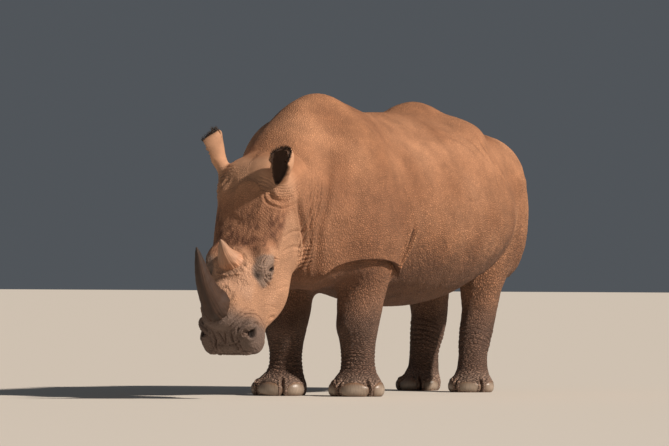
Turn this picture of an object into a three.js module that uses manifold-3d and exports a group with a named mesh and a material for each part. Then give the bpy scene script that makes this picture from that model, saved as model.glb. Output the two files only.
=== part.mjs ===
// A white rhinoceros, life size, standing with its head held low.
// Millimetres, +Z up. The animal faces -Y, its left side is +X, and it stands on Z = 0.
// The body is one scalar field, below zero inside. Each piece of it is a loft of that field:
// rays run out from a line through the piece to where the field is zero. Flat cuts part the pieces.
import * as THREE from "three";
import { mergeVertices } from "three/addons/utils/BufferGeometryUtils.js";
import Module from "manifold-3d";

const wasm = await Module();
wasm.setup();
const { PI, abs, cos, hypot, max, min, sin } = Math;
const { degToRad, lerp, smoothstep } = THREE.MathUtils;
const vec = (x, y, z) => new THREE.Vector3(x, y, z);

// ---------------------------------------------------------------- driving sizes
const GAP = 1; // from a cut to the piece on either side of it
const OVERRUN = 70; // how far a loft runs past a cut before it is trimmed
const CLEARANCE = 1.5; // round whatever stands on the skin or in it
const MIDDLE = vec(0, 317, 0); // the middle of the body's box, which becomes the origin
const POLL = vec(-15, -735, 1318); // the top of the head, between the ears
const HEAD_PITCH = degToRad(68); // how steeply the head hangs
const HEAD_YAW = degToRad(2); // the turn of the head to its left

// ---------------------------------------------------------------- numbers along a line
// Stations are rows of numbers in order of their first; the others are eased between rows.
function at(stations, t) {
  const last = stations.length - 1;
  if (t <= stations[0][0]) return stations[0];
  if (t >= stations[last][0]) return stations[last];
  let i = 0;
  while (stations[i + 1][0] < t) i++;
  const [a, b] = [stations[i], stations[i + 1]];
  const [before, after] = [stations[max(i - 1, 0)], stations[min(i + 2, last)]];
  const span = b[0] - a[0];
  const s = (t - a[0]) / span;
  return a.map((value, k) => {
    const step = b[k] - value;
    const slopeA = ((b[k] - before[k]) / (b[0] - before[0])) * span;
    const slopeB = ((after[k] - value) / (after[0] - a[0])) * span;
    return value + s * step + s * (1 - s) * ((1 - s) * (slopeA - step) + s * (step - slopeB));
  });
}

const steps = (from, to, count) =>
  Array.from({ length: count }, (_, i) => from + ((to - from) * i) / (count - 1));

// ---------------------------------------------------------------- fields
// How far a point of a rounded section lies outside its rim, along the ray from its middle.
function section(a, b, radiusA, radiusB, power) {
  const reach = hypot(a, b);
  if (reach < 1e-6) return -min(radiusA, radiusB);
  const q = ((abs(a) / radiusA) ** power + (abs(b) / radiusB) ** power) ** (1 / power);
  return reach * (1 - 1 / q);
}

function join(a, b, blend) {
  const near = max(blend - abs(a - b), 0) / blend;
  return min(a, b) - (near * near * blend) / 4;
}

function ellipsoid(p, [x, y, z], [rx, ry, rz]) {
  const [a, b, c] = [p.x - x, p.y - y, p.z - z];
  const q = hypot(a / rx, b / ry, c / rz);
  const steep = hypot(a / rx ** 2, b / ry ** 2, c / rz ** 2);
  return steep < 1e-9 ? -min(rx, ry, rz) : (q * (q - 1)) / steep;
}

// Masses and hollows are rows of place, radii and blend, the same on both sides.
function withMasses(field, p, masses, hollows) {
  const q = vec(abs(p.x), p.y, p.z);
  let f = field;
  for (const [place, radii, blend] of Object.values(masses))
    f = join(f, ellipsoid(q, place, radii), blend);
  for (const [place, radii, blend] of Object.values(hollows))
    f = -join(-f, ellipsoid(q, place, radii), blend);
  return f;
}

// ---------------------------------------------------------------- trunk and neck
// y, top of the back, underside, half width, height of the widest point
const BARREL = [
  [-760, 1215, 1075, 70, 1150],
  [-690, 1362, 930, 200, 1160],
  [-600, 1418, 850, 245, 1160],
  [-470, 1538, 775, 285, 1150],
  [-330, 1634, 700, 325, 1110],
  [-170, 1715, 655, 365, 1060],
  [0, 1748, 622, 405, 1030],
  [170, 1712, 595, 450, 1010],
  [400, 1656, 560, 520, 985],
  [650, 1648, 522, 575, 975],
  [900, 1656, 516, 600, 985],
  [1130, 1688, 566, 598, 1010],
  [1330, 1642, 672, 552, 1040],
  [1530, 1566, 768, 450, 1080],
  [1700, 1470, 820, 345, 1110],
  [1820, 1370, 900, 270, 1130],
  [1900, 1250, 1000, 150, 1130],
];
const BACK_POWER = 1.85; // a little roof-shaped above the widest point
const BELLY_POWER = 2.1; // and fuller below it

const MASSES = {
  shoulderBlade: [[270, -40, 1180], [170, 250, 380], 160],
  upperArm: [[300, 10, 900], [140, 230, 200], 120],
  brisket: [[90, -240, 800], [190, 190, 160], 150],
  hip: [[262, 1225, 1500], [115, 130, 78], 120],
  croup: [[0, 1130, 1615], [90, 150, 72], 100],
  rump: [[175, 1638, 1270], [238, 285, 245], 140],
  buttock: [[205, 1796, 985], [172, 172, 330], 140],
};
const HOLLOWS = {
  loin: [[360, 1020, 1720], [150, 150, 110], 120],
  flank: [[590, 1560, 980], [120, 120, 260], 60],
};

function barrel(p) {
  const [, top, under, half, widest] = at(BARREL, p.y);
  const above = p.z > widest;
  const rise = above ? top - widest : widest - under;
  const ends = max(BARREL[0][0] - p.y, p.y - BARREL.at(-1)[0]);
  const rim = section(p.x, p.z - widest, half, rise, above ? BACK_POWER : BELLY_POWER);
  return withMasses(max(rim, ends), p, MASSES, HOLLOWS);
}

// ---------------------------------------------------------------- legs
// height, outwards and backwards from the ankle, half width, half depth
const FORELEG = [
  [-1, 0, -46, 138, 112],
  [20, 0, -48, 152, 128],
  [60, 0, -46, 152, 128],
  [105, 0, -28, 128, 114],
  [150, 0, 2, 100, 94],
  [225, 0, 10, 92, 84],
  [312, 0, 10, 101, 99],
  [400, 0, 10, 119, 127],
  [500, 4, 42, 127, 142],
  [620, 12, 58, 137, 158],
  [760, 25, 45, 150, 185],
  [900, 30, 40, 140, 190],
];
const HINDLEG = [
  [-1, 0, -38, 112, 96],
  [20, 0, -40, 126, 108],
  [60, 0, -38, 126, 110],
  [105, 0, -16, 100, 97],
  [150, 0, 2, 87, 88],
  [230, 0, 26, 83, 87],
  [320, 0, 74, 90, 100],
  [400, 0, 114, 96, 112],
  [490, 0, 144, 101, 120],
  [600, 0, 150, 118, 152],
  [740, 2, 158, 150, 236],
  [900, 6, 176, 175, 296],
  [1080, -10, 200, 185, 312],
  [1220, -30, 206, 165, 270],
];
const LEG_POWER = 2.2;

// side is 1 for left. ankle stands over the heel of the sole; splay turns the toes outwards.
// hip is where the leg hangs from, in y, so that a leg can stand before or behind it.
const LEGS = {
  foreleg_left: { stations: FORELEG, side: 1, ankle: [224, 78], splay: 22, hip: 50 },
  foreleg_right: { stations: FORELEG, side: -1, ankle: [-249, 50], splay: 2, hip: 50 },
  hindleg_left: { stations: HINDLEG, side: 1, ankle: [248, 1398], splay: 20, hip: 1424 },
  hindleg_right: { stations: HINDLEG, side: -1, ankle: [-243, 1678], splay: 6, hip: 1404 },
};

// Each foot has three toes: turn is from straight ahead, reach from the middle of the sole.
const TOES = {
  middle: { turn: 0, reach: 80, middle: 40, across: 96, out: 64, high: 70 },
  outer: { turn: 68, reach: 112, middle: 40, across: 64, out: 54, high: 60 },
  inner: { turn: -70, reach: 104, middle: 40, across: 64, out: 52, high: 60 },
};
const HIND_FOOT = 0.84; // the size of the hind foot against the fore foot
const ANKLE = 150; // height of the ankle, below which the leg stands plumb
const TOE_BLEND = 22;
// spread is the half turn of a nail round its toe; edge is its thickness at the top
const NAIL = { spread: degToRad(58), bottom: 6, top: 78, thick: 10, edge: 4, clearance: 4 };

const hind = (leg) => leg.stations === HINDLEG;

// The leg at a height: the middle of its section and how far the section is turned.
function legAt(leg, z) {
  const [, out, back, half, deep] = at(leg.stations, z);
  const rise = max(0, (z - ANKLE) / (leg.stations.at(-1)[0] - ANKLE));
  const turn = leg.side * degToRad(leg.splay) * (1 - rise);
  const offset = vec(leg.side * out, back, 0).applyAxisAngle(vec(0, 0, 1), turn);
  const [x, y] = leg.ankle;
  return { middle: offset.add(vec(x, lerp(y, leg.hip, rise), z)), turn, half, deep };
}

// A frame at each toe: X across it, -Y the way it points, Z up.
for (const leg of Object.values(LEGS))
  leg.toes = Object.entries(TOES).map(([name, toe]) => {
    const size = hind(leg) ? HIND_FOOT : 1;
    const { middle, turn } = legAt(leg, 0);
    const frame = new THREE.Matrix4()
      .makeTranslation(middle)
      .multiply(new THREE.Matrix4().makeRotationZ(turn + leg.side * degToRad(toe.turn)))
      .multiply(new THREE.Matrix4().makeTranslation(0, -toe.reach * size, 0))
      .scale(vec(size, size, size));
    return { name, toe, frame, inverse: frame.clone().invert() };
  });

function limb(leg, p) {
  const { middle, turn, half, deep } = legAt(leg, p.z);
  const ends = max(-p.z, p.z - leg.stations.at(-1)[0]);
  const q = p.clone().sub(middle).applyAxisAngle(vec(0, 0, 1), -turn);
  let f = section(q.x, q.y, half, deep, LEG_POWER);
  if (p.z < ANKLE)
    for (const { toe, inverse } of leg.toes) {
      const local = p.clone().applyMatrix4(inverse);
      f = join(f, ellipsoid(local, [0, 0, toe.middle], [toe.across, toe.out, toe.high]), TOE_BLEND);
    }
  return max(f, ends);
}

// ---------------------------------------------------------------- head
// Its own frame: X to the animal's left, -Y from the poll towards the lips, Z out of the brow.
const headFrame = new THREE.Matrix4()
  .makeTranslation(POLL)
  .multiply(new THREE.Matrix4().makeRotationZ(HEAD_YAW))
  .multiply(new THREE.Matrix4().makeRotationX(HEAD_PITCH));
const toHead = headFrame.clone().invert();
const headAxes = [0, 1, 2].map((i) => vec(0, 0, 0).setFromMatrixColumn(headFrame, i));

// y, brow line, jaw line, half width, height of the widest point
const SKULL = [
  [-1062, -140, -215, 112, -178],
  [-1040, -95, -240, 152, -175],
  [-1000, -45, -258, 166, -165],
  [-940, 5, -282, 166, -150],
  [-860, 30, -334, 165, -150],
  [-760, 24, -406, 176, -165],
  [-660, 2, -446, 183, -175],
  [-560, -20, -450, 196, -180],
  [-450, -40, -452, 219, -180],
  [-320, -48, -440, 232, -170],
  [-180, -30, -432, 234, -160],
  [-60, -5, -395, 222, -160],
  [20, -25, -330, 184, -170],
  [70, -90, -250, 100, -170],
];
const SKULL_POWER = 2.8;

const HEAD_MASSES = {
  crest: [[70, -10, -50], [110, 70, 50], 60],
  earBase: [[165, -105, -95], [62, 75, 75], 50],
  browRidge: [[155, -540, -70], [52, 85, 48], 45],
  cheek: [[100, -300, -330], [100, 190, 110], 60],
  hornBossFront: [[0, -856, 26], [112, 138, 76], 60],
  hornBossRear: [[0, -594, -18], [102, 104, 54], 50],
  lipCorner: [[128, -985, -170], [50, 75, 75], 45],
};
const HEAD_HOLLOWS = {
  temple: [[252, -260, -20], [52, 150, 52], 45],
  besideNose: [[225, -750, -130], [55, 100, 70], 70],
};
const EYE = { place: vec(171, -575, -130), radius: 25 };
const NOSTRIL = { place: vec(157, -976, -94), radii: vec(26, 34, 22) };

function head(p) {
  const q = p.clone().applyMatrix4(toHead);
  const [, brow, jaw, half, widest] = at(SKULL, q.y);
  const rise = q.z > widest ? brow - widest : widest - jaw;
  const ends = max(SKULL[0][0] - q.y, q.y - SKULL.at(-1)[0]);
  const rim = section(q.x, q.z - widest, half, rise, SKULL_POWER);
  return withMasses(max(rim, ends), q, HEAD_MASSES, HEAD_HOLLOWS);
}

// ---------------------------------------------------------------- the whole body
const LEG_BLEND = 70;
const HEAD_BLEND = 90;

function body(p) {
  let f = barrel(p);
  for (const leg of Object.values(LEGS)) f = join(f, limb(leg, p), LEG_BLEND);
  return join(f, head(p), HEAD_BLEND);
}

// ---------------------------------------------------------------- solids
function solidOf(geometry) {
  const bare = geometry.clone();
  bare.deleteAttribute("normal");
  bare.deleteAttribute("uv");
  const merged = mergeVertices(bare, 1e-3);
  return new wasm.Manifold(
    new wasm.Mesh({
      numProp: 3,
      vertProperties: new Float32Array(merged.attributes.position.array),
      triVerts: new Uint32Array(merged.index.array),
    }),
  );
}

function geometryOf(solid) {
  const { numProp, numVert, vertProperties, triVerts } = solid.getMesh();
  const points = new Float32Array(numVert * 3);
  for (let i = 0; i < numVert; i++)
    points.set(vertProperties.subarray(i * numProp, i * numProp + 3), i * 3);
  const geometry = new THREE.BufferGeometry();
  geometry.setAttribute("position", new THREE.BufferAttribute(points, 3));
  geometry.setIndex(new THREE.BufferAttribute(triVerts, 1));
  geometry.computeVertexNormals();
  return geometry;
}

// Rings of points joined into a closed surface, with a fan to a point at each end.
function loft(rings, start, end) {
  const around = rings[0].length;
  const points = [start, ...rings.flat(), end];
  const faces = [];
  for (let j = 0; j < around; j++) {
    const k = (j + 1) % around;
    const last = points.length - 1 - around;
    faces.push([0, 1 + k, 1 + j], [last + j, last + k, points.length - 1]);
    for (let a = 1; a < last; a += around) {
      const b = a + around;
      faces.push([a + j, a + k, b + j], [a + k, b + k, b + j]);
    }
  }
  const geometry = new THREE.BufferGeometry().setFromPoints(points);
  geometry.setIndex(faces.flat());
  const solid = solidOf(geometry);
  if (solid.volume() > 0) return solid;
  return solidOf(geometry.setIndex(faces.flatMap(([a, b, c]) => [b, a, c])));
}

// Where a ray from inside the field first leaves it.
const STRIDE = 14;
const LONGEST = 1400;
const HALVINGS = 12;

function cast(field, from, way) {
  const inside = (reach) => field(from.clone().addScaledVector(way, reach)) < 0;
  let near = 0;
  while (near < LONGEST && inside(near + STRIDE)) near += STRIDE;
  let far = near + STRIDE;
  for (let i = 0; i < HALVINGS; i++) {
    const half = (near + far) / 2;
    if (inside(half)) near = half;
    else far = half;
  }
  return from.clone().addScaledVector(way, near);
}

// A loft of a field. Each hoop is the middle of a ring, with across and up spanning its plane.
// The ring is drawn where rays in that plane leave the field. A domed end has more rings,
// whose rays lean further and further out of the last hoop's plane, and ends in a pole.
function castLoft(field, hoops, around, domes = [0, 0]) {
  const turns = steps(0, 2 * PI, around + 1).slice(0, -1);
  const ring = ({ middle, across, up }, axis, lean) =>
    turns.map((turn) => {
      const way = across.clone().multiplyScalar(cos(turn) * cos(lean));
      way.addScaledVector(up, sin(turn) * cos(lean)).addScaledVector(axis, sin(lean));
      return cast(field, middle, way);
    });
  const outwards = (hoop, next) => {
    const axis = hoop.across.clone().cross(hoop.up);
    return axis.dot(next.middle.clone().sub(hoop.middle)) > 0 ? axis.negate() : axis;
  };
  const ends = [[hoops[0], hoops[1]], [hoops.at(-1), hoops.at(-2)]].map(([hoop, next], i) => {
    const axis = outwards(hoop, next);
    const leans = steps(0, PI / 2, domes[i] + 2).slice(1, -1);
    const pole = domes[i] ? cast(field, hoop.middle, axis) : hoop.middle;
    return { pole, rings: leans.map((lean) => ring(hoop, axis, lean)) };
  });
  const middleRings = hoops.map((hoop) => ring(hoop, vec(0, 0, 0), 0));
  const rings = [...ends[0].rings.reverse(), ...middleRings, ...ends[1].rings];
  return loft(rings, ends[0].pole, ends[1].pole);
}

// A loft along a curve in its own frame. stations are rows of t, half width and half depth.
function curveLoft(points, stations, count, around, frame) {
  const curve = new THREE.CatmullRomCurve3(points.map((point) => vec(...point)));
  const rings = steps(0, 1, count).map((t) => {
    const [, half, deep] = at(stations, t);
    const across = vec(1, 0, 0);
    const depth = curve.getTangent(t).cross(across).normalize();
    return steps(0, 2 * PI, around + 1).slice(0, -1).map((turn) =>
      curve
        .getPoint(t)
        .addScaledVector(across, half * cos(turn))
        .addScaledVector(depth, deep * sin(turn))
        .applyMatrix4(frame),
    );
  });
  const [start, end] = [0, 1].map((t) => curve.getPoint(t).applyMatrix4(frame));
  return loft(rings, start, end);
}

function ball(place, radii, around, tall, frame) {
  const geometry = new THREE.SphereGeometry(1, around, tall).scale(...radii.toArray());
  return solidOf(geometry.translate(...place.toArray()).applyMatrix4(frame));
}

// ---------------------------------------------------------------- cuts
// A zone is what lies behind all of its planes: each a point on it and its outward normal.
class Zone {
  constructor(...planes) {
    this.planes = planes.map(([point, normal]) =>
      new THREE.Plane().setFromNormalAndCoplanarPoint(vec(...normal).normalize(), vec(...point)),
    );
  }

  distance(p) {
    return max(...this.planes.map((plane) => plane.distanceToPoint(p)));
  }

  // The zone as a solid, with each plane moved out by grow.
  solid(grow) {
    const size = 8000;
    const blocks = this.planes.map(({ normal, constant }) => {
      const turn = new THREE.Quaternion().setFromUnitVectors(vec(0, 0, 1), normal);
      const middle = normal.clone().multiplyScalar(grow - constant - size / 2);
      const block = new THREE.BoxGeometry(size, size, size).applyQuaternion(turn);
      return solidOf(block.translate(...middle.toArray()));
    });
    return blocks.reduce((a, b) => a.intersect(b));
  }
}

const behind = ([point, normal]) => [point, normal.map((n) => -n)];
const HEAD_CUT = [[0, -657, 1352], [0, 0.948, 0.318]]; // behind the ears and the jaw
const NECK_CUT = [[0, -240, 1100], [0, 1, 0]]; // before the shoulders

// What a leg keeps: the wedge below a plane that rises outwards, on the leg's own side.
const legZone = (side, [x, y, z], [out, back], ...limits) =>
  new Zone([[side * x, y, z], [-side * out, -back, 1]], [[side * 8, 0, 0], [-side, 0, 0]], ...limits);
const foreZone = (side) =>
  legZone(side, [130, 0, 600], [0.5, -0.17], [[0, -170, 0], [0, -1, 0]], [[0, 290, 0], [0, 1, 0]]);
const hindZone = (side) =>
  legZone(side, [90, 1330, 636], [0.95, 0.35], [[0, 1300, 650], [0, -0.8, 0.6]]);

const ZONES = {
  trunk: new Zone(behind(NECK_CUT)),
  neck: new Zone(behind(HEAD_CUT), NECK_CUT),
  head: new Zone(HEAD_CUT),
  foreleg_left: foreZone(1),
  foreleg_right: foreZone(-1),
  hindleg_left: hindZone(1),
  hindleg_right: hindZone(-1),
};

// ---------------------------------------------------------------- the pieces of the body
// The body within a zone and a little past its cuts, swelled by grow.
const bodyIn = (name, grow = 0) => (p) => max(body(p) - grow, ZONES[name].distance(p) - OVERRUN);

function trunkSolid(grow = 0) {
  const legZones = Object.keys(LEGS).map((name) => ZONES[name]);
  const whole = bodyIn("trunk", grow);
  const field = (p) => max(whole(p), ...legZones.map((zone) => -zone.distance(p) - OVERRUN));
  const hoops = steps(-300, 1640, 20).map((y) => {
    const [, top, under] = at(BARREL, y);
    return { middle: vec(0, y, (top + under) / 2), across: vec(1, 0, 0), up: vec(0, 0, 1) };
  });
  const solid = castLoft(field, hoops, 32, [0, 6]).intersect(ZONES.trunk.solid(-GAP));
  return legZones.reduce((rest, zone) => rest.subtract(zone.solid(GAP)), solid);
}

function neckSolid(grow = 0) {
  const hoops = steps(0, 1, 8).map((t) => ({
    middle: vec(0, lerp(-606, -185, t), lerp(1028, 1150, t)),
    across: vec(1, 0, 0),
    up: vec(0, lerp(-0.318, 0, t), 1).normalize(),
  }));
  return castLoft(bodyIn("neck", grow), hoops, 28).intersect(ZONES.neck.solid(grow - GAP));
}

function headSolid(grow = 0) {
  const hoops = steps(20, -930, 19).map((y) => {
    const [, brow, jaw] = at(SKULL, y);
    const middle = vec(0, y, lerp(brow, jaw, 0.45)).applyMatrix4(headFrame);
    return { middle, across: headAxes[0], up: headAxes[2] };
  });
  return castLoft(bodyIn("head", grow), hoops, 28, [2, 4]).intersect(ZONES.head.solid(grow - GAP));
}

function legSolid(name) {
  const leg = LEGS[name];
  const zone = ZONES[name];
  const whole = bodyIn(name);
  const heights = [0, 14, 38, 62, 88, 118, 150, 200, 270, 350, 430, 520];
  const hoops = heights.map((z) => ({
    middle: legAt(leg, z).middle,
    across: vec(1, 0, 0),
    up: vec(0, 1, 0),
  }));
  // Above the straight part the hoops lean over, until the last lies just past the top cut.
  const [cut] = zone.planes;
  const { normal } = cut;
  const { middle: top } = legAt(leg, hind(leg) ? 850 : 640);
  top.z -= (cut.distanceToPoint(top) - OVERRUN / 2) / normal.z;
  const below = hoops.at(-1).middle;
  for (const t of steps(0, 1, hind(leg) ? 8 : 5).slice(1)) {
    const lean = vec(0, 0, 1).lerp(normal, t).normalize();
    const across = vec(lean.z, 0, -lean.x).normalize();
    hoops.push({ middle: below.clone().lerp(top, t), across, up: lean.cross(across) });
  }
  const field = (p) => whole(vec(p.x, p.y, max(p.z, 0.01)));
  return castLoft(field, hoops, 20).intersect(zone.solid(-GAP));
}

// ---------------------------------------------------------------- horns, ears, eyes, nails, tail
const headSkin = headSolid(CLEARANCE).add(neckSolid(CLEARANCE));

// y and z in the head's frame, then t, half width and half depth
const HORNS = {
  horn_front: {
    line: [[0, -868, -60], [0, -872, 90], [0, -802, 262], [0, -660, 418]],
    stations: [[0, 98, 112], [0.26, 82, 94], [0.4, 66, 74], [0.6, 49, 55], [0.8, 31, 34], [0.93, 16, 17], [1, 5, 5]],
  },
  horn_rear: {
    line: [[0, -586, -90], [0, -584, 0], [0, -564, 85], [0, -515, 172]],
    stations: [[0, 92, 76], [0.3, 86, 72], [0.5, 62, 54], [0.75, 36, 33], [0.92, 17, 17], [1, 6, 6]],
  },
};

function hornSolid({ line, stations }, count) {
  return curveLoft(line, stations, count, 14, headFrame).subtract(headSkin);
}

// An ear's frame: Z up the ear, -Y out of its opening.
const EARS = {
  ear_left: { side: 1, root: vec(168, -98, -94), outwards: 22, forwards: 28, opening: -8 },
  ear_right: { side: -1, root: vec(-197, -20, -92), outwards: 11, forwards: 14, opening: 75 },
};

function earSolid({ side, root, outwards, forwards, opening }) {
  const frame = new THREE.Matrix4()
    .makeTranslation(root.clone().applyMatrix4(headFrame))
    .multiply(new THREE.Matrix4().makeRotationX(degToRad(forwards)))
    .multiply(new THREE.Matrix4().makeRotationY(degToRad(side * outwards)))
    .multiply(new THREE.Matrix4().makeRotationZ(degToRad(side * opening)));
  const shell = curveLoft(
    [[0, 0, -30], [0, -8, 70], [0, -32, 160], [0, -36, 212], [0, -12, 256], [0, 20, 274]],
    [[0, 50, 48], [0.21, 42, 40], [0.33, 42, 42], [0.47, 54, 56], [0.62, 68, 70], [0.72, 74, 74], [0.84, 66, 70], [0.91, 46, 54], [1, 12, 18]],
    7,
    10,
    frame,
  );
  const bowl = curveLoft(
    [[0, -46, 66], [0, -60, 125], [0, -72, 190], [0, -68, 230], [0, -50, 285]],
    [[0, 8, 10], [0.15, 30, 44], [0.36, 48, 80], [0.56, 62, 94], [0.74, 60, 96], [1, 50, 88]],
    4,
    8,
    frame,
  );
  return shell.subtract(bowl).subtract(headSkin);
}

function eyeSolid(side, grow = 0) {
  const place = vec(side * EYE.place.x, EYE.place.y, EYE.place.z);
  return ball(place, vec(1, 1, 1).multiplyScalar(EYE.radius + grow), 12, 7, headFrame);
}

function nostrilSolid(side) {
  const place = vec(side * NOSTRIL.place.x, NOSTRIL.place.y, NOSTRIL.place.z);
  return ball(place, NOSTRIL.radii, 8, 6, headFrame);
}

// A plate round the front of a toe, lower and thinner towards its sides.
function nailSolid(leg, { toe, frame }) {
  const swelled = (p) => limb(leg, p) - NAIL.clearance;
  const rings = steps(-1, 1, 6).map((across) => {
    const turn = across * NAIL.spread;
    const way = vec(sin(turn) * toe.across, -cos(turn) * toe.out, 0).transformDirection(frame);
    const top = NAIL.top * cos(across * 0.9);
    const inner = [NAIL.bottom, (NAIL.bottom + top) / 2, top].map((height) =>
      cast(swelled, vec(0, 0, height).applyMatrix4(frame), way),
    );
    const outer = [NAIL.thick, NAIL.thick, NAIL.edge].map((thick, i) =>
      inner[i].clone().addScaledVector(way, thick * cos(across * 1.2)),
    );
    return [...inner, ...outer.reverse()];
  });
  const middle = (ring) => ring.reduce((a, b) => a.clone().add(b)).divideScalar(ring.length);
  return loft(rings, middle(rings[0]), middle(rings.at(-1)));
}

function tailSolid() {
  return curveLoft(
    [[0, 1850, 1290], [0, 1925, 1235], [0, 1978, 1100], [0, 1985, 900], [0, 1968, 640]],
    [[0, 52, 46], [0.2, 44, 38], [0.45, 30, 26], [0.75, 22, 18], [0.92, 24, 14], [1, 12, 8]],
    9,
    8,
    new THREE.Matrix4(),
  ).subtract(trunkSolid(CLEARANCE));
}

// ---------------------------------------------------------------- assembly
const skin = new THREE.MeshStandardMaterial({ color: "#a9714f", roughness: 0.9 });
const horn = new THREE.MeshStandardMaterial({ color: "#6b5f56", roughness: 0.7 });
const nail = new THREE.MeshStandardMaterial({ color: "#8d857e", roughness: 0.5 });
const eye = new THREE.MeshStandardMaterial({ color: "#1c120c", roughness: 0.1 });

const rhinoceros = new THREE.Group();
rhinoceros.name = "rhinoceros";
rhinoceros.position.copy(MIDDLE).negate();
function add(name, solid, material) {
  const mesh = new THREE.Mesh(geometryOf(solid), material);
  mesh.name = name;
  rhinoceros.add(mesh);
}

add("trunk", trunkSolid(), skin);
add("neck", neckSolid(), skin);
let face = headSolid();
for (const side of [1, -1])
  face = face.subtract(eyeSolid(side, CLEARANCE)).subtract(nostrilSolid(side));
add("head", face, skin);
add("tail", tailSolid(), skin);
for (const [name, leg] of Object.entries(LEGS)) {
  add(name, legSolid(name), skin);
  for (const toe of leg.toes) add(`${name}_toenail_${toe.name}`, nailSolid(leg, toe), nail);
}
add("horn_front", hornSolid(HORNS.horn_front, 10), horn);
add("horn_rear", hornSolid(HORNS.horn_rear, 7), horn);
for (const [name, ear] of Object.entries(EARS)) add(name, earSolid(ear), skin);
add("eye_left", eyeSolid(1), eye);
add("eye_right", eyeSolid(-1), eye);

export default rhinoceros;
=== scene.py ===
"""A white rhinoceros, life size, standing with its head held low.

One hide covers the flesh, with its folds, lids, nostrils and toes. The horns, eyes, toenails and
hair are pieces of their own. The hide is worked out in the animal's own millimetres: x to its left,
y backwards from the hump, z up from the ground. Each piece is turned to metres when it is made.
"""
import itertools
import math

import bmesh
import bpy
import numpy as np
from mathutils import Matrix, Vector


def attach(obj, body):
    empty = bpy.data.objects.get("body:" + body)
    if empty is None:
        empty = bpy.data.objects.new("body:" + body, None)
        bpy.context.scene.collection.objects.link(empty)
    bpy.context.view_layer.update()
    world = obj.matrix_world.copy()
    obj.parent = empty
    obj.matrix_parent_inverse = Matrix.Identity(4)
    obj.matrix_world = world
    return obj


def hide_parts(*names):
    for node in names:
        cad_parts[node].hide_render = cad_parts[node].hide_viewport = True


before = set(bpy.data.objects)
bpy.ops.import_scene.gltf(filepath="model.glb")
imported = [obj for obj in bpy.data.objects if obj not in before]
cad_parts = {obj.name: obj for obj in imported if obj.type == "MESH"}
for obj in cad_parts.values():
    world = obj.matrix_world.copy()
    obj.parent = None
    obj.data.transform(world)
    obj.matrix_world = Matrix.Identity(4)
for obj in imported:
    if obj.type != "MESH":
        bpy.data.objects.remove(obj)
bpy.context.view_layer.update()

# ==================================================================================== flesh
# The flesh is one body of muscle and fat. It is described as a field, below zero inside, made of
# rounded sections along the barrel, legs and head, with the larger muscles blended in.
MIDDLE = np.array([0.0, 317.0, 0.0])  # the frame's origin, in the animal's own millimetres


def eased(rows, t):
    """The columns of a table at t, eased between its rows. The first column is t."""
    rows = np.array(rows, float)
    t = np.clip(t, rows[0, 0], rows[-1, 0])
    last = len(rows) - 1
    i = np.clip(np.searchsorted(rows[:, 0], t) - 1, 0, last - 1)
    a, b = rows[i], rows[i + 1]
    before, after = rows[np.maximum(i - 1, 0)], rows[np.minimum(i + 2, last)]
    span = b[:, :1] - a[:, :1]
    s = (t[:, None] - a[:, :1]) / span
    step = b - a
    slope_a = (b - before) / (b[:, :1] - before[:, :1]) * span
    slope_b = (after - a) / (after[:, :1] - a[:, :1]) * span
    return (a + s * step + s * (1 - s) * ((1 - s) * (slope_a - step) + s * (step - slope_b))).T


def section(a, b, radius_a, radius_b, power):
    """The field of a rounded section: about the distance to its outline, below zero inside."""
    reach = np.hypot(a, b) + 1e-6
    q = ((np.abs(a) / radius_a) ** power + (np.abs(b) / radius_b) ** power) ** (1 / power)
    return reach * (1 - 1 / (q + 1e-9))


def join(a, b, blend):
    """The lower of two fields, with the crease where they meet filled in."""
    near = np.maximum(blend - np.abs(a - b), 0) / blend
    return np.minimum(a, b) - near * near * blend / 4


def ellipsoid(p, place, radii):
    """The field of an ellipsoid."""
    q = np.linalg.norm((p - place) / radii, axis=1)
    steep = np.linalg.norm((p - place) / np.square(radii), axis=1)
    return q * (q - 1) / (steep + 1e-9)


def mirrored(p):
    """Points with those on the right side moved over to the left."""
    return np.column_stack([np.abs(p[:, 0]), p[:, 1:]])


def with_masses(f, p, masses, hollows):
    """A field with masses blended in and hollows cut out, the same on both sides."""
    q = mirrored(p)
    for place, radii, blend in masses.values():
        f = join(f, ellipsoid(q, place, np.array(radii, float)), blend)
    for place, radii, blend in hollows.values():
        f = -join(-f, ellipsoid(q, place, np.array(radii, float)), blend)
    return f


def turned(p, axis, degrees):
    return p @ np.array(Matrix.Rotation(math.radians(degrees), 3, axis)).T


def away(p, place):
    return np.linalg.norm(p - place, axis=1)


# y, top of the back, underside, half width, height of the widest point
BARREL = [
    [-760, 1215, 1075, 70, 1150],
    [-690, 1362, 930, 200, 1160],
    [-600, 1418, 850, 245, 1160],
    [-470, 1538, 775, 285, 1150],
    [-330, 1634, 700, 325, 1110],
    [-170, 1715, 655, 365, 1060],
    [0, 1748, 622, 405, 1030],
    [170, 1712, 595, 450, 1010],
    [400, 1656, 560, 520, 985],
    [650, 1648, 522, 575, 975],
    [900, 1656, 516, 600, 985],
    [1130, 1688, 566, 598, 1010],
    [1330, 1642, 672, 552, 1040],
    [1530, 1566, 768, 450, 1080],
    [1700, 1470, 820, 345, 1110],
    [1820, 1370, 900, 270, 1130],
    [1900, 1250, 1000, 150, 1130],
]
BACK_POWER, BELLY_POWER = 1.85, 2.1
MASSES = {
    "shoulder blade": [[270, -40, 1180], [170, 250, 380], 160],
    "upper arm": [[300, 10, 900], [140, 230, 200], 120],
    "brisket": [[90, -240, 800], [190, 190, 160], 150],
    "brisket knob": [[92, -212, 652], [38, 46, 40], 22],
    "hip": [[262, 1225, 1500], [115, 130, 78], 120],
    "croup": [[0, 1130, 1615], [90, 150, 72], 100],
    "rump": [[175, 1638, 1270], [238, 285, 245], 140],
    "buttock": [[205, 1796, 985], [172, 172, 330], 140],
}
HOLLOWS = {
    "loin": [[360, 1020, 1720], [150, 150, 110], 120],
    "flank": [[590, 1560, 980], [120, 120, 260], 60],
}


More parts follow.
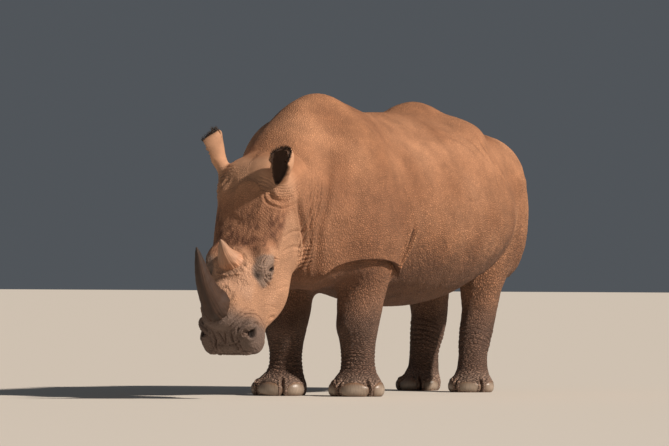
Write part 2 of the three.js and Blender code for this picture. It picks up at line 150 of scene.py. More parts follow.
def barrel(p):
    _, top, under, half, widest = eased(BARREL, p[:, 1])
    above = p[:, 2] > widest
    rise = np.where(above, top - widest, widest - under)
    power = np.where(above, BACK_POWER, BELLY_POWER)
    ends = np.maximum(BARREL[0][0] - p[:, 1], p[:, 1] - BARREL[-1][0])
    rim = section(p[:, 0], p[:, 2] - widest, half, rise, power)
    return with_masses(np.maximum(rim, ends), p, MASSES, HOLLOWS)


# height, outwards and backwards from the ankle, half width, half depth
FORELEG = [
    [-1, 0, -46, 138, 112],
    [20, 0, -48, 152, 128],
    [60, 0, -46, 152, 128],
    [105, 0, -28, 128, 114],
    [150, 0, 2, 100, 94],
    [225, 0, 10, 92, 84],
    [312, 0, 10, 101, 99],
    [400, 0, 10, 119, 127],
    [500, 4, 42, 127, 142],
    [620, 12, 58, 137, 158],
    [760, 25, 45, 150, 185],
    [900, 30, 40, 140, 190],
]
HINDLEG = [
    [-1, 0, -38, 112, 96],
    [20, 0, -40, 126, 108],
    [60, 0, -38, 126, 110],
    [105, 0, -16, 100, 97],
    [150, 0, 2, 87, 88],
    [230, 0, 26, 83, 87],
    [320, 0, 74, 90, 100],
    [400, 0, 114, 96, 112],
    [490, 0, 144, 101, 120],
    [600, 0, 150, 118, 152],
    [740, 2, 158, 150, 236],
    [900, 6, 176, 175, 296],
    [1080, -10, 200, 185, 312],
    [1220, -30, 206, 165, 270],
]
LEG_POWER = 2.2
# ankle stands over the heel of the sole; splay turns the toes outwards; hip is in y
LEGS = {
    "foreleg_left": dict(stations=FORELEG, side=1, ankle=(224, 78), splay=22, hip=50),
    "foreleg_right": dict(stations=FORELEG, side=-1, ankle=(-249, 50), splay=2, hip=50),
    "hindleg_left": dict(stations=HINDLEG, side=1, ankle=(248, 1398), splay=20, hip=1424),
    "hindleg_right": dict(stations=HINDLEG, side=-1, ankle=(-243, 1678), splay=6, hip=1404),
}
# turn is from straight ahead, reach from the middle of the sole
TOES = {
    "middle": dict(turn=0, reach=80, radii=(96, 64, 70)),
    "outer": dict(turn=68, reach=112, radii=(64, 54, 60)),
    "inner": dict(turn=-70, reach=104, radii=(64, 52, 60)),
}
TOE_MIDDLE = (0, 0, 40)
TOE_BLEND = 14
HIND_FOOT = 0.84
ANKLE = 150


def foot_size(leg):
    return HIND_FOOT if leg["stations"] is HINDLEG else 1


def in_leg(leg, p):
    """Points in the leg's own frame, x across and y backwards, and its half width and depth."""
    z = p[:, 2]
    _, out, back, half, deep = eased(leg["stations"], z)
    rise = np.maximum(0, (z - ANKLE) / (leg["stations"][-1][0] - ANKLE))
    turn = leg["side"] * math.radians(leg["splay"]) * (1 - rise)
    cos, sin = np.cos(turn), np.sin(turn)
    x = leg["side"] * out * cos - back * sin + leg["ankle"][0]
    y = leg["side"] * out * sin + back * cos + leg["ankle"][1] * (1 - rise) + leg["hip"] * rise
    dx, dy = p[:, 0] - x, p[:, 1] - y
    return dx * cos + dy * sin, dy * cos - dx * sin, half, deep


def sole_middle(leg):
    """Where the middle of a leg's sole stands."""
    back = eased(leg["stations"], np.zeros(1))[2][0]
    return turned(np.array([[0, back, 0]]), "Z", leg["side"] * leg["splay"])[0] + [*leg["ankle"], 0]


def in_toe(leg, toe, p):
    """Points in a toe's frame: x across it, -y the way it points, z up."""
    size = foot_size(leg)
    local = turned(p - sole_middle(leg), "Z", -leg["side"] * (leg["splay"] + toe["turn"]))
    return (local + [0, toe["reach"] * size, 0]) / size


def limb(leg, p):
    """The field of a leg, with its toes blended in below the ankle."""
    x, y, half, deep = in_leg(leg, p)
    f = section(x, y, half, deep, LEG_POWER)
    low = p[:, 2] < ANKLE
    if low.any():
        for toe in TOES.values():
            local = in_toe(leg, toe, p[low])
            shape = ellipsoid(local, TOE_MIDDLE, np.array(toe["radii"], float))
            f[low] = join(f[low], shape, TOE_BLEND)
    return np.maximum(f, np.maximum(-p[:, 2], p[:, 2] - leg["stations"][-1][0]))


# The head's frame: x to its left, -y from the poll to the lips, z out of the brow.
POLL = np.array([-15.0, -735.0, 1318.0])
HEAD_PITCH, HEAD_YAW = 68, 2


def in_head(p):
    return turned(turned(p - POLL, "Z", -HEAD_YAW), "X", -HEAD_PITCH)


def from_head(p):
    return turned(turned(np.atleast_2d(p), "X", HEAD_PITCH), "Z", HEAD_YAW) + POLL


# y, brow line, jaw line, half width, height of the widest point
SKULL = [
    [-1062, -140, -215, 112, -178],
    [-1040, -95, -240, 152, -175],
    [-1000, -45, -258, 166, -165],
    [-940, 5, -282, 166, -150],
    [-860, 30, -334, 165, -150],
    [-760, 24, -406, 176, -165],
    [-660, 2, -446, 183, -175],
    [-560, -20, -450, 196, -180],
    [-450, -40, -452, 219, -180],
    [-320, -48, -440, 232, -170],
    [-180, -30, -432, 234, -160],
    [-60, -5, -395, 222, -160],
    [20, -25, -330, 184, -170],
    [70, -90, -250, 100, -170],
]
SKULL_POWER = 2.8
HEAD_MASSES = {
    "crest": [[70, -10, -50], [110, 70, 50], 60],
    "ear base": [[165, -105, -95], [62, 75, 75], 50],
    "brow ridge": [[155, -540, -70], [52, 85, 48], 45],
    "cheek": [[100, -300, -330], [100, 190, 110], 60],
    "front horn boss": [[0, -856, 26], [112, 138, 76], 60],
    "rear horn boss": [[0, -594, -18], [102, 104, 54], 50],
    "lip corner": [[128, -985, -170], [50, 75, 75], 45],
    "lids": [[164, -575, -126], [36, 44, 33], 16],
    "brow over the eye": [[176, -560, -86], [24, 62, 18], 22],
    "nostril wing": [[146, -968, -60], [34, 50, 24], 18],
    "behind the nostril": [[150, -918, -92], [26, 32, 40], 26],
}
HEAD_HOLLOWS = {
    "temple": [[252, -260, -20], [52, 150, 52], 45],
    "beside the nose": [[225, -750, -130], [55, 100, 70], 70],
    "nostril": [[170, -978, -96], [34, 28, 17], 8],
}


def head(p):
    q = in_head(p)
    _, brow, jaw, half, widest = eased(SKULL, q[:, 1])
    rise = np.where(q[:, 2] > widest, brow - widest, widest - jaw)
    ends = np.maximum(SKULL[0][0] - q[:, 1], q[:, 1] - SKULL[-1][0])
    rim = section(q[:, 0], q[:, 2] - widest, half, rise, SKULL_POWER)
    return with_masses(np.maximum(rim, ends), q, HEAD_MASSES, HEAD_HOLLOWS)


# An ear is a tube at its root that opens to a deep trumpet. In its own frame z runs up the ear
# and -y out of its opening. Rows: z, middle in y, half width, half depth.
EARS = {
    "ear_left": dict(side=1, root=(168, -98, -94), outwards=22, forwards=28, opening=-8),
    "ear_right": dict(side=-1, root=(-197, -20, -92), outwards=11, forwards=14, opening=75),
}
EAR_SHELL = [
    [-30, 0, 50, 48],
    [40, -2, 42, 40],
    [80, -12, 42, 42],
    [124, -28, 54, 56],
    [170, -36, 68, 70],
    [205, -36, 74, 74],
    [240, -26, 66, 70],
    [260, -8, 46, 54],
    [274, 20, 12, 18],
]
EAR_BOWL = [
    [66, -46, 6, 10],
    [100, -54, 26, 40],
    [145, -66, 43, 74],
    [190, -74, 56, 88],
    [230, -70, 54, 90],
    [285, -54, 45, 84],
]
EAR_BLEND = 34


def in_ear(ear, p):
    local = p - from_head(ear["root"])
    for axis, degrees in (("X", ear["forwards"]), ("Y", ear["side"] * ear["outwards"]),
                          ("Z", ear["side"] * ear["opening"])):
        local = turned(local, axis, -degrees)
    return local


def from_ear(ear, p):
    for axis, degrees in (("Z", ear["side"] * ear["opening"]), ("Y", ear["side"] * ear["outwards"]),
                          ("X", ear["forwards"])):
        p = turned(p, axis, degrees)
    return p + from_head(ear["root"])


def sheath(rows, q):
    """A tube along z, from rows of z, middle in y, half width and half depth."""
    _, middle, half, deep = eased(rows, q[:, 2])
    ends = np.maximum(rows[0][0] - q[:, 2], q[:, 2] - rows[-1][0])
    return np.maximum(section(q[:, 0], q[:, 1] - middle, half, deep, 2), ends)


def eased_line(line, count):
    """Points along a smooth curve through the points of a line, evenly in its parameter."""
    rows = np.column_stack([np.arange(len(line)), np.array(line, float)])
    return eased(rows, np.linspace(0, len(line) - 1, count))[1:].T


def from_line(p, line, count=32):
    """Signed distance to a flat curve, positive on its left, and where along it, from 0 to 1."""
    curve = eased_line(line, count)
    nearest = np.full(len(p), 1e9)
    signed, along = np.full(len(p), 1e9), np.zeros(len(p))
    for i, (a, b) in enumerate(zip(curve, curve[1:])):
        way = b - a
        s = np.clip((p - a) @ way / (way @ way), 0, 1)
        off = p - a - s[:, None] * way
        distance = np.linalg.norm(off, axis=1)
        side = np.where(way[0] * off[:, 1] - way[1] * off[:, 0] >= 0, 1, -1)
        closer = distance < nearest
        nearest = np.where(closer, distance, nearest)
        signed = np.where(closer, distance * side, signed)
        along = np.where(closer, (i + s) / (count - 1), along)
    return signed, along


TAIL = [[1850, 1290], [1925, 1235], [1974, 1100], [1982, 900], [1966, 650]]  # y and z
TAIL_RADII = [[0, 52], [0.2, 42], [0.45, 29], [0.75, 20], [0.92, 17], [1, 8]]


def tail(p):
    distance, along = from_line(p[:, 1:], TAIL)
    _, radius = eased(TAIL_RADII, along)
    return np.hypot(distance, p[:, 0]) - radius


LEG_BLEND, HEAD_BLEND, TAIL_BLEND = 70, 90, 30
LEG_MIDDLE, LEG_REACH = 80, 620  # backwards from the hip, and both ways from there
HEAD_END, TAIL_START, EAR_SPAN = -300, 1780, 380  # where their fields can matter
BOWL_EDGE = 8  # how softly an ear's rim is rounded
EAR_MIDDLE, EAR_REACH = (0, 0, 150), 200  # in an ear's frame, a ball round its upper part


def within(f, p, near, field, blend):
    """The field joined with another that matters only where near is true."""
    if near.any():
        f[near] = join(f[near], field(p[near]), blend)
    return f


def flesh(p, behind_bowl):
    """The whole body's field. Points behind an ear's bowl keep to the ear's outer side."""
    f = barrel(p)
    x, y, z = p.T
    for leg in LEGS.values():
        close = np.abs(y - leg["hip"] - LEG_MIDDLE) < LEG_REACH
        near = close & (x * leg["side"] > -120) & (z < leg["stations"][-1][0] + 60)
        f = within(f, p, near, lambda q, leg=leg: limb(leg, q), LEG_BLEND)
    f = within(f, p, y < HEAD_END, head, HEAD_BLEND)
    f = within(f, p, y > TAIL_START, tail, TAIL_BLEND)
    for ear in EARS.values():
        near = away(p, from_head(ear["root"])) < EAR_SPAN
        if near.any():
            q = in_ear(ear, p[near])
            shell = join(f[near], sheath(EAR_SHELL, q), EAR_BLEND)
            f[near] = np.where(behind_bowl[near], shell, -join(-shell, sheath(EAR_BOWL, q), BOWL_EDGE))
    return f


# ===================================================================================== hide
# The hide is one piece of thick, nearly bare skin over the whole body. It is remeshed from the
# packed flesh and settled on the smooth flesh, with more faces on the head and the lower legs.
FLESH_NODES = ["trunk", "neck", "head", "tail", "ear_left", "ear_right", *LEGS]
CLOSE_CUTS = 0.0025  # metres by which each node grows, so that the thin cuts between them close
PLUG_RADIUS, PLUG_LENGTH, PLUG_MIDDLE = 28, 110, 52
VOXEL = 0.008
EYE = np.array([171.0, -575.0, -130.0])  # in the head's frame, on its left
NOSTRIL = np.array([158.0, -978.0, -96.0])


def remeshed_flesh():
    """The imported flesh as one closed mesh, with the thin cuts between its nodes closed."""
    whole = bmesh.new()
    for name in FLESH_NODES:
        node = bmesh.new()
        node.from_mesh(bpy.data.objects[name].data)
        bmesh.ops.remove_doubles(node, verts=node.verts, dist=1e-5)
        node.normal_update()
        for vertex in node.verts:
            vertex.co += vertex.normal * CLOSE_CUTS
        grown = bpy.data.meshes.new(name)
        node.to_mesh(grown)
        node.free()
        whole.from_mesh(grown)
        bpy.data.meshes.remove(grown)
    for ear in EARS.values():  # a plug in each ear's stem closes the slanting cut there
        plug = bmesh.ops.create_cone(
            whole, cap_ends=True, segments=24, radius1=PLUG_RADIUS, radius2=PLUG_RADIUS, depth=PLUG_LENGTH
        )
        for vertex in plug["verts"]:
            place = np.array(vertex.co)[None] + [0, 0, PLUG_MIDDLE]
            vertex.co = (from_ear(ear, place)[0] - MIDDLE) / 1000
    mesh = bpy.data.meshes.new("hide")
    whole.to_mesh(mesh)
    whole.free()
    piece = bpy.data.objects.new("hide", mesh)
    bpy.context.collection.objects.link(piece)
    remesh = piece.modifiers.new("remesh", "REMESH")
    remesh.mode = "VOXEL"
    remesh.voxel_size = VOXEL
    graph = bpy.context.evaluated_depsgraph_get()
    piece.data = bpy.data.meshes.new_from_object(piece.evaluated_get(graph))
    piece.modifiers.clear()
    return piece


def read(items, name, width=3):
    """A property of a mesh's items, as a row for each."""
    flat = np.empty(len(items) * width)
    items.foreach_get(name, flat)
    return flat.reshape(-1, width)


def points_of(mesh):
    """A mesh's points, in the animal's millimetres."""
    return read(mesh.vertices, "co") * 1000 + MIDDLE


def move_points(mesh, p):
    mesh.vertices.foreach_set("co", ((p - MIDDLE) / 1000).ravel())
    mesh.update()


def relaxed(p, mesh, rounds, ease=0.5):
    """Points moved towards the middle of their neighbours."""
    ends = np.empty(len(mesh.edges) * 2, np.int64)
    mesh.edges.foreach_get("vertices", ends)
    a, b = ends.reshape(-1, 2).T
    degree = np.bincount(ends, minlength=len(p))
    for _ in range(rounds):
        total = [np.bincount(a, p[b, k], len(p)) + np.bincount(b, p[a, k], len(p)) for k in range(3)]
        p = p + ease * ((total / degree).T - p)
    return p


FLATTEST = 0.2  # the field's slope is taken to be at least this, so that no point jumps away


def settled(p, mesh, rounds):
    """Points moved down the field's slope to where it is zero."""
    normal = read(mesh.vertices, "normal")
    behind_bowl = np.zeros(len(p), bool)
    for ear in EARS.values():
        q = in_ear(ear, p)
        facing = in_ear(ear, p + normal) - q
        outwards = q[:, :2] - np.column_stack([q[:, 0] * 0, eased(EAR_BOWL, q[:, 2])[1]])
        near = (q[:, 2] > 50) & (away(q, EAR_MIDDLE) < EAR_REACH)
        behind_bowl |= near & ((facing[:, :2] * outwards).sum(1) > 0)
    for _ in range(rounds):
        f = flesh(p, behind_bowl)
        slope = np.stack([flesh(p + axis, behind_bowl) - f for axis in np.eye(3)], 1)
        p = p - slope * (f / np.maximum((slope**2).sum(1), FLATTEST))[:, None]
    return p


def refine(mesh, wanted):
    """Splits each wanted face in four. wanted is true or false for each face."""
    work = bmesh.new()
    work.from_mesh(mesh)
    work.faces.ensure_lookup_table()
    edges = {edge for i in np.flatnonzero(wanted) for edge in work.faces[i].edges}
    bmesh.ops.subdivide_edges(work, edges=list(edges), cuts=1, use_grid_fill=True)
    work.to_mesh(mesh)
    work.free()


hide = remeshed_flesh()
skin = hide.data
skin.name = "hide"
p = relaxed(points_of(skin), skin, 2)
p = relaxed(settled(p, skin, 2), skin, 2)
move_points(skin, p)
middles = read(skin.polygons, "center") * 1000 + MIDDLE
wanted = (in_head(middles)[:, 1] < -40) | (middles[:, 2] < 420)  # the head and the lower legs
wanted |= (middles[:, 1] > -720) & (middles[:, 1] < -200) & (middles[:, 2] < 1420)  # the neck
for ear in EARS.values():
    wanted |= away(middles, from_head(ear["root"])) < 330
refine(skin, wanted)
for eye_reach, nostril_reach in ((75, 62), (46, 0)):
    middles = mirrored(in_head(read(skin.polygons, "center") * 1000 + MIDDLE))
    refine(skin, (away(middles, EYE) < eye_reach) | (away(middles, NOSTRIL) < nostril_reach))
p = relaxed(points_of(skin), skin, 1)
p = settled(relaxed(settled(p, skin, 1), skin, 1), skin, 1)
p[:, 2] = np.maximum(p[:, 2], 0)
move_points(skin, p)
skin.polygons.foreach_set("use_smooth", np.ones(len(skin.polygons), bool))
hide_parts(*FLESH_NODES)
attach(hide, "root")


# ============================================================================== large folds
# Where the hide is too big for the body it hangs over itself: an apron at the top of each
# foreleg, a fold behind each elbow, pleats down the neck and creases across the haunch.
def smooth(t):
    t = np.clip(t, 0, 1)
    return t * t * (3 - 2 * t)


def hump(distance, width):
    """1 at no distance, easing to 0 past the width."""
    return np.exp(-np.square(distance / width))


def banks(distance, *rows):
    """Rolls and grooves side by side. Each row is a place, a width and a height."""
    return sum(height * hump(distance - place, width) for place, width, height in rows)


def rolls(phase):
    """Broad rolls with sharp creases between them, from 1 down to -1."""
    return 2 * np.abs(np.sin(math.pi * phase)) ** 0.6 - 1


def noise(p, size, seed):
    """Smooth random waves about size millimetres long, from -1 to 1."""
    q = p / size
    low = np.floor(q).astype(np.int64)
    part = smooth(q - low)
    total = np.zeros(len(p))
    for corner in itertools.product((0, 1), repeat=3):
        x, y, z = (low + corner).T
        mixed = (x * 73856093) ^ (y * 19349663) ^ (z * 83492791) ^ (seed * 40503)
        mixed = ((mixed ^ (mixed >> 13)) * 1274126177) & 0xFFFFFFFF
        value = ((mixed ^ (mixed >> 16)) & 0xFFFF) / 32767.5 - 1
        total += value * np.where(corner, part, 1 - part).prod(1)
    return total


def within_range(value, low, high, soft):
    return smooth((value - low) / soft) * smooth((high - value) / soft)


def close_to(flat, line, reach):
    low, high = np.min(line, 0) - reach, np.max(line, 0) + reach
    return np.flatnonzero(((flat > low) & (flat < high)).all(1))


def furrow(flat, line, width, depth, bank=0.35, taper=0.2):
    """Height of a groove along a flat curve, with a soft roll of skin on each side of it."""
    height = np.zeros(len(flat))
    near = close_to(flat, line, 4 * width)
    distance, along = from_line(flat[near], line)
    ends = smooth(along / taper) * smooth((1 - along) / taper)
    roll = hump(np.abs(distance) - 2.1 * width, width)
    height[near] = depth * ends * (bank * roll - hump(distance, width))
    return height


def overlap(flat, line, lip, tuck, run, hang, taper=0.15):
    """A fold that hangs over what is on its line's right: its height, and its pull that way."""
    height, pull = np.zeros(len(flat)), np.zeros((len(flat), 2))
    near = close_to(flat, line, 3 * run)
    distance, along = from_line(flat[near], line)
    ends = smooth(along / taper) * smooth((1 - along) / taper)
    above = lip * np.exp(-np.maximum(distance, 0) / run)
    below = -tuck * np.exp(np.minimum(distance, 0) / (0.6 * run))
    over = smooth(distance / 14 + 0.5)
    height[near] = ends * (over * above + (1 - over) * below)
    i = np.clip((along * (len(line) - 1)).astype(int), 0, len(line) - 2)
    way = np.diff(np.array(line, float), axis=0)[i]
    right = np.column_stack([way[:, 1], -way[:, 0]]) / np.linalg.norm(way, axis=1)[:, None]
    pull[near] = right * (ends * over * hang * hump(distance, 26))[:, None]
    return height, pull


p = points_of(skin)
normal = read(skin.vertices, "normal")
sideways = smooth((np.abs(normal[:, 0]) - 0.15) / 0.35)
outwards = smooth((np.abs(normal[:, 0]) - 0.9 * normal[:, 1] - 0.15) / 0.35)
flank = p[:, 1:]  # the side view, y and z
wrapped = np.column_stack([p[:, 1] + np.abs(p[:, 0]), p[:, 2]])  # round the front of a shoulder
SHARE_BLEND = 70  # the width over which one part's folds give way to another's
body_field, head_field = barrel(p), head(p)
leg_share = {}
for name, leg in LEGS.items():
    nearby = (p[:, 0] * leg["side"] > -100) & (np.abs(p[:, 1] - leg["hip"] - 80) < 600)
    share = np.zeros(len(p))
    share[nearby] = smooth((body_field[nearby] - limb(leg, p[nearby])) / SHARE_BLEND + 0.5)
    leg_share[name] = share
legs_share = np.clip(sum(leg_share.values()), 0, 1)
head_share = smooth((body_field - head_field) / SHARE_BLEND + 0.5)
ear_share = np.zeros(len(p))
for ear in EARS.values():
    q = in_ear(ear, p)
    ear_share = np.maximum(ear_share, smooth((q[:, 2] - 20) / 60) * (away(q, [0, 0, 130]) < 220))
trunk_share = np.clip(1 - head_share - ear_share, 0, 1)

APRON = [
    [-210, 640], [-130, 700], [-72, 732], [-10, 762], [60, 782], [139, 796], [220, 804],
    [330, 806], [430, 802], [530, 788], [600, 770], [650, 735], [680, 680],
]
height, pull = overlap(wrapped, APRON, lip=18, tuck=44, run=90, hang=18, taper=0.14)
height, pull = height * outwards, pull * [0, 1] * outwards[:, None]
BELLY_EDGE = [
    [1120, 590], [1240, 650], [1330, 730], [1400, 820], [1455, 920],
    [1510, 1030], [1590, 1140], [1680, 1260], [1770, 1380],
]
behind, back_pull = overlap(flank, BELLY_EDGE, lip=30, tuck=52, run=120, hang=20, taper=0.2)
height, pull = height + behind * sideways, pull + back_pull * sideways[:, None]
folds = np.zeros(len(p))
ELBOW_FOLD = [[278, 1030], [280, 955], [256, 870], [230, 800], [205, 730], [190, 650]]
folds += furrow(flank, ELBOW_FOLD, width=13, depth=26, bank=0.5, taper=0.4)
SHOULDER_EDGE = [
    [-320, 1430], [-372, 1300], [-408, 1170], [-434, 1005], [-425, 880], [-400, 755], [-350, 680],
]
PLEATS = [  # seen from the side: a line, its width and its depth
    (SHOULDER_EDGE, 19, 13),
    ([[-650, 1230], [-632, 1100], [-590, 1000], [-520, 874], [-430, 714]], 15, 17),
    ([[-545, 1240], [-536, 1080], [-505, 940], [-462, 820], [-415, 720]], 13, 8),
]
HAUNCH_CREASES = [
    ([[850, 1545], [910, 1522], [985, 1475], [1040, 1415], [1062, 1345]], 15, 6),
    ([[960, 1540], [1050, 1508], [1110, 1450], [1150, 1370], [1165, 1290]], 13, 6),
    ([[1120, 1530], [1180, 1490], [1228, 1380], [1262, 1270], [1245, 1170]], 14, 8),
    ([[1170, 1330], [1158, 1240], [1134, 1150]], 13, 5),
    ([[1230, 1500], [1290, 1400], [1325, 1280], [1320, 1180]], 13, 4),
    ([[690, 1122], [800, 1130], [910, 1134]], 11, 3),
]
for line, width, depth in PLEATS + HAUNCH_CREASES:
    folds += furrow(flank, line, width, depth, taper=0.35)
PLEAT_SPACING, PLEAT_HEIGHT = 25, 6.0  # fine pleats along the neck, before the shoulder's edge
BAG_COUNT, BAG_HEIGHT = 34, 4.5  # rolls across its lower end
near_neck = close_to(flank, SHOULDER_EDGE, 200)
before, down = from_line(flank[near_neck], SHOULDER_EDGE)
before += 7 * noise(p[near_neck], 120, 8) + 4 * noise(p[near_neck] * [1, 1, 2], 36, 9)
pleated = smooth((-before - 4) / 20) * smooth((before + 175) / 50) * smooth((down - 0.12) / 0.3)
folds[near_neck] += PLEAT_HEIGHT * pleated * rolls(before / PLEAT_SPACING)
bagged = within_range(before, -150, -8, 30) * smooth((down - 0.6) / 0.15)
folds[near_neck] += BAG_HEIGHT * bagged * rolls(down * BAG_COUNT)
RIB_SPACING, RIB_SLOPE, RIB_HEIGHT = 112, 0.28, 2.6
ribs = hump(p[:, 1] - 620, 380) * hump(p[:, 2] - 1130, 260)
folds += ribs * RIB_HEIGHT * np.sin((p[:, 1] + RIB_SLOPE * p[:, 2]) * 2 * math.pi / RIB_SPACING)
height = height * trunk_share + folds * sideways * (1 - ear_share)
height += trunk_share * (4 * noise(p, 260, 1) + 2 * noise(p, 110, 2))
JOWL, JOWL_RADII, JOWL_RISE = [186, -675, -322], [90, 150, 95], 36  # slack hide round the jaw's angle
from_jowl = (mirrored(in_head(p)) - JOWL) / JOWL_RADII
height += head_share * (1 - ear_share) * JOWL_RISE * np.exp(-np.square(from_jowl).sum(1))
pull = np.column_stack([np.zeros(len(p)), pull]) * trunk_share[:, None]
move_points(skin, relaxed(p + normal * height[:, None] + pull, skin, 2, 0.4))


# ============================================================================== small folds
# Smaller folds: rings round the wrists, hocks and ears, clefts and rolls round the toes, wrinkled
# lids round the eyes, rims round the nostrils, the lips, and loose plates of skin all over.
def wrinkles(p, size, stretch, seed):
    """Plates of skin with creases between them, from 0 in a crease to 1."""
    bent = np.column_stack([noise(p, size, seed + k) for k in (1, 2, 3)])
    return np.minimum(np.abs(noise(p * np.array(stretch) + 0.35 * size * bent, size, seed)) * 1.8, 1) ** 0.6


p, normal = points_of(skin), read(skin.vertices, "normal")
height = np.zeros(len(p))
# lowest and highest ring, their spacing, how they slant backwards, and their height
RINGS = {"foreleg": (112, 290, 22, 0.0, 2.6), "hindleg": (205, 410, 27, 0.45, 3.6)}
CLEFT_TURN, CLEFT_WIDTH, CLEFT_DEPTH = 37, 8, 21  # between two toes
NAIL_SPREAD, NAIL_TOP = math.radians(58), 78
OVER_NAIL = ((15, 9, 5), (30, 6, -3), (42, 8, 2.5))  # rolls over each nail
for name, leg in LEGS.items():
    low, high, spacing, slope, amount = RINGS[name.split("_")[0]]
    near = np.flatnonzero((leg_share[name] > 0.01) & (p[:, 2] < 520))
    q = p[near]
    x, y, half, deep = in_leg(leg, q)
    level = q[:, 2] + slope * y + 9 * noise(q, 110, 11) + 4 * noise(q, 40, 12)
    h = amount * rolls(level / spacing) * within_range(level, low, high, 45)
    for side in (-1, 1):
        local = in_toe(leg, dict(turn=side * CLEFT_TURN, reach=0), q)
        reach = smooth((-local[:, 1] - 50) / 30) * smooth((122 - local[:, 2]) / 45)
        across = np.abs(local[:, 0]) / CLEFT_WIDTH
        h -= CLEFT_DEPTH * banks(across, (0, 1, 1), (2.2, 1, -0.3)) * reach
    for toe in TOES.values():
        local = in_toe(leg, toe, q)
        across = np.arctan2(local[:, 0] / toe["radii"][0], -local[:, 1] / toe["radii"][1]) / NAIL_SPREAD
        over = local[:, 2] - NAIL_TOP * np.cos(np.clip(across, -1.3, 1.3) * 0.9)
        front = smooth((1.35 - np.abs(across)) / 0.4) * smooth((-local[:, 1] - 5) / 25)
        h += front * banks(over, *OVER_NAIL)
    height[near] += h * leg_share[name][near]

q = mirrored(in_head(p))
x, y, z = q.T
EYE_RADIUS = 28
GAZE = np.array([0.80, -0.15, 0.58])  # out of the left eye, in the head's frame
GAZE /= np.linalg.norm(GAZE)
EYE_BACK = np.array([0, 1, 0]) - GAZE * GAZE[1]  # across the eye, away from the nose
EYE_BACK /= np.linalg.norm(EYE_BACK)
EYE_UP = np.cross(GAZE, EYE_BACK)
SLANT = math.radians(45)  # the corner of the eye away from the nose is the lower
ALONG_LIDS = np.array([[math.cos(SLANT), -math.sin(SLANT)], [math.sin(SLANT), math.cos(SLANT)]])
LID_OPENING = np.array([[23], [12.5]])  # half the length and half the height of the eye's opening
LID_THICK, SOCKET_DEPTH = 3.5, 8  # the lids stand over the eyeball, the socket is behind its front
EYE_BAGS = ((41, 4, -2.5), (49, 5, 1.8), (58, 4, -2.5), (67, 6, 2))
CROWS_FEET = 12


def from_left_eye(q):
    """Points from the eye's middle, how far to its back and top, how far over its lids' line, and
    how far out in the opening between the lids, where 1 is its edge."""
    away_from = q - EYE
    flat = np.array([away_from @ EYE_BACK, away_from @ EYE_UP])
    between = ALONG_LIDS @ flat
    return away_from, *flat, between[1], np.hypot(*(between / LID_OPENING))


from_eye, behind_eye, over_eye, _, _ = from_left_eye(q)
reach, turn = np.hypot(behind_eye, over_eye), np.arctan2(over_eye, behind_eye)
facing_out = from_eye @ GAZE > 0
by_eye = head_share * facing_out * smooth((150 - away(q, EYE)) / 40)
under_eye = smooth((-behind_eye + 6) / 30)
feet = rolls(turn * CROWS_FEET / math.pi + 0.5 * noise(q, 30, 13)) * within_range(reach, 32, 105, 22)
height += by_eye * feet * (0.7 + 1.5 * under_eye)
height += by_eye * under_eye * banks(reach, *EYE_BAGS)
ring = np.hypot((behind_eye + 22) / 105, (over_eye - 43) / 88) + 0.16 * noise(q, 34, 19)
ring = smooth((1.02 - ring) / 0.3) * by_eye

by_nostril = head_share * (x > 80) * smooth((120 - away(q, NOSTRIL)) / 30)
rim = np.hypot((y - NOSTRIL[1]) / 28, (z - NOSTRIL[2]) / 18)
over_nostril = smooth((z - NOSTRIL[2] + 0.35 * (y - NOSTRIL[1])) / 14 + 0.5)
NOSTRIL_RIM, OVER_RIM = (1.4, 0.3, 6), ((2.15, 0.25, -5), (2.7, 0.35, 3.5))
height += by_nostril * (banks(rim, NOSTRIL_RIM) + over_nostril * banks(rim, *OVER_RIM))
MOUTH = [[-1090, -192], [-1010, -201], [-930, -212], [-850, -238]]
LIPS = ((0, 6, -13), (19, 12, 5), (-18, 12, 4))
parting = z - eased(MOUTH, y)[1]
at_mouth = head_share * smooth((-848 - y) / 25)
height += at_mouth * banks(parting, *LIPS)
height += at_mouth * 1.3 * rolls(y / 13 + 0.5 * noise(q, 40, 14)) * within_range(parting, 2, 80, 25)
FACE_FOLDS = [  # in the head's frame: a line, its width and its depth
    ([[178, -585, -34], [184, -556, -34], [194, -530, -50], [203, -516, -100], [206, -508, -158]], 4.5, 7),
    ([[184, -612, -92], [183, -622, -112], [180, -630, -134]], 4, 5),
    ([[187, -606, -118], [183, -622, -138], [179, -640, -158]], 4, 5),
    ([[172, -648, -92], [173, -655, -130], [173, -662, -172]], 5, 6),
    ([[160, -676, -70], [161, -684, -100], [162, -692, -134]], 5, 5),
    ([[206, -560, -158], [207, -545, -176], [206, -526, -196]], 4, 5),
    ([[106, -966, -29], [133, -934, -33], [155, -908, -75], [164, -901, -131], [167, -915, -183]], 6, 8),
    ([[55, -983, -9], [101, -928, 20], [135, -856, -22], [150, -849, -125], [150, -862, -190]], 6, 5),
    ([[61, -988, -26], [55, -1024, -74], [69, -1048, -113], [72, -1052, -160]], 6, 14),
    ([[24, -992, -24], [4, -1038, -94], [3, -1058, -150]], 6, 12),
    ([[106, -966, -29], [92, -1010, -48], [96, -1040, -90]], 6, 11),
    ([[88, -996, -20], [48, -1012, -40], [8, -1008, -44]], 6, 10),
    ([[100, -1030, -80], [60, -1046, -100], [10, -1050, -112]], 6, 9),
    ([[92, -887, 50], [127, -894, -9], [147, -877, -53], [150, -860, -100]], 5, 4),
]
LINE_STEPS = 40
for line, width, depth in FACE_FOLDS:
    near = np.flatnonzero((np.abs(q - np.mean(line, 0)) < np.ptp(line, 0) / 2 + 5 * width).all(1))
    apart = np.linalg.norm(q[near, None] - eased_line(line, LINE_STEPS)[None], axis=2)
    distance, along = apart.min(1), apart.argmin(1) / (LINE_STEPS - 1)
    ends = smooth(along / 0.15) * smooth((1 - along) / 0.15)
    groove = banks(distance, (2.1 * width, width, 0.4), (0, width, -1))
    height[near] += head_share[near] * depth * (0.15 + 0.85 * ends) * groove
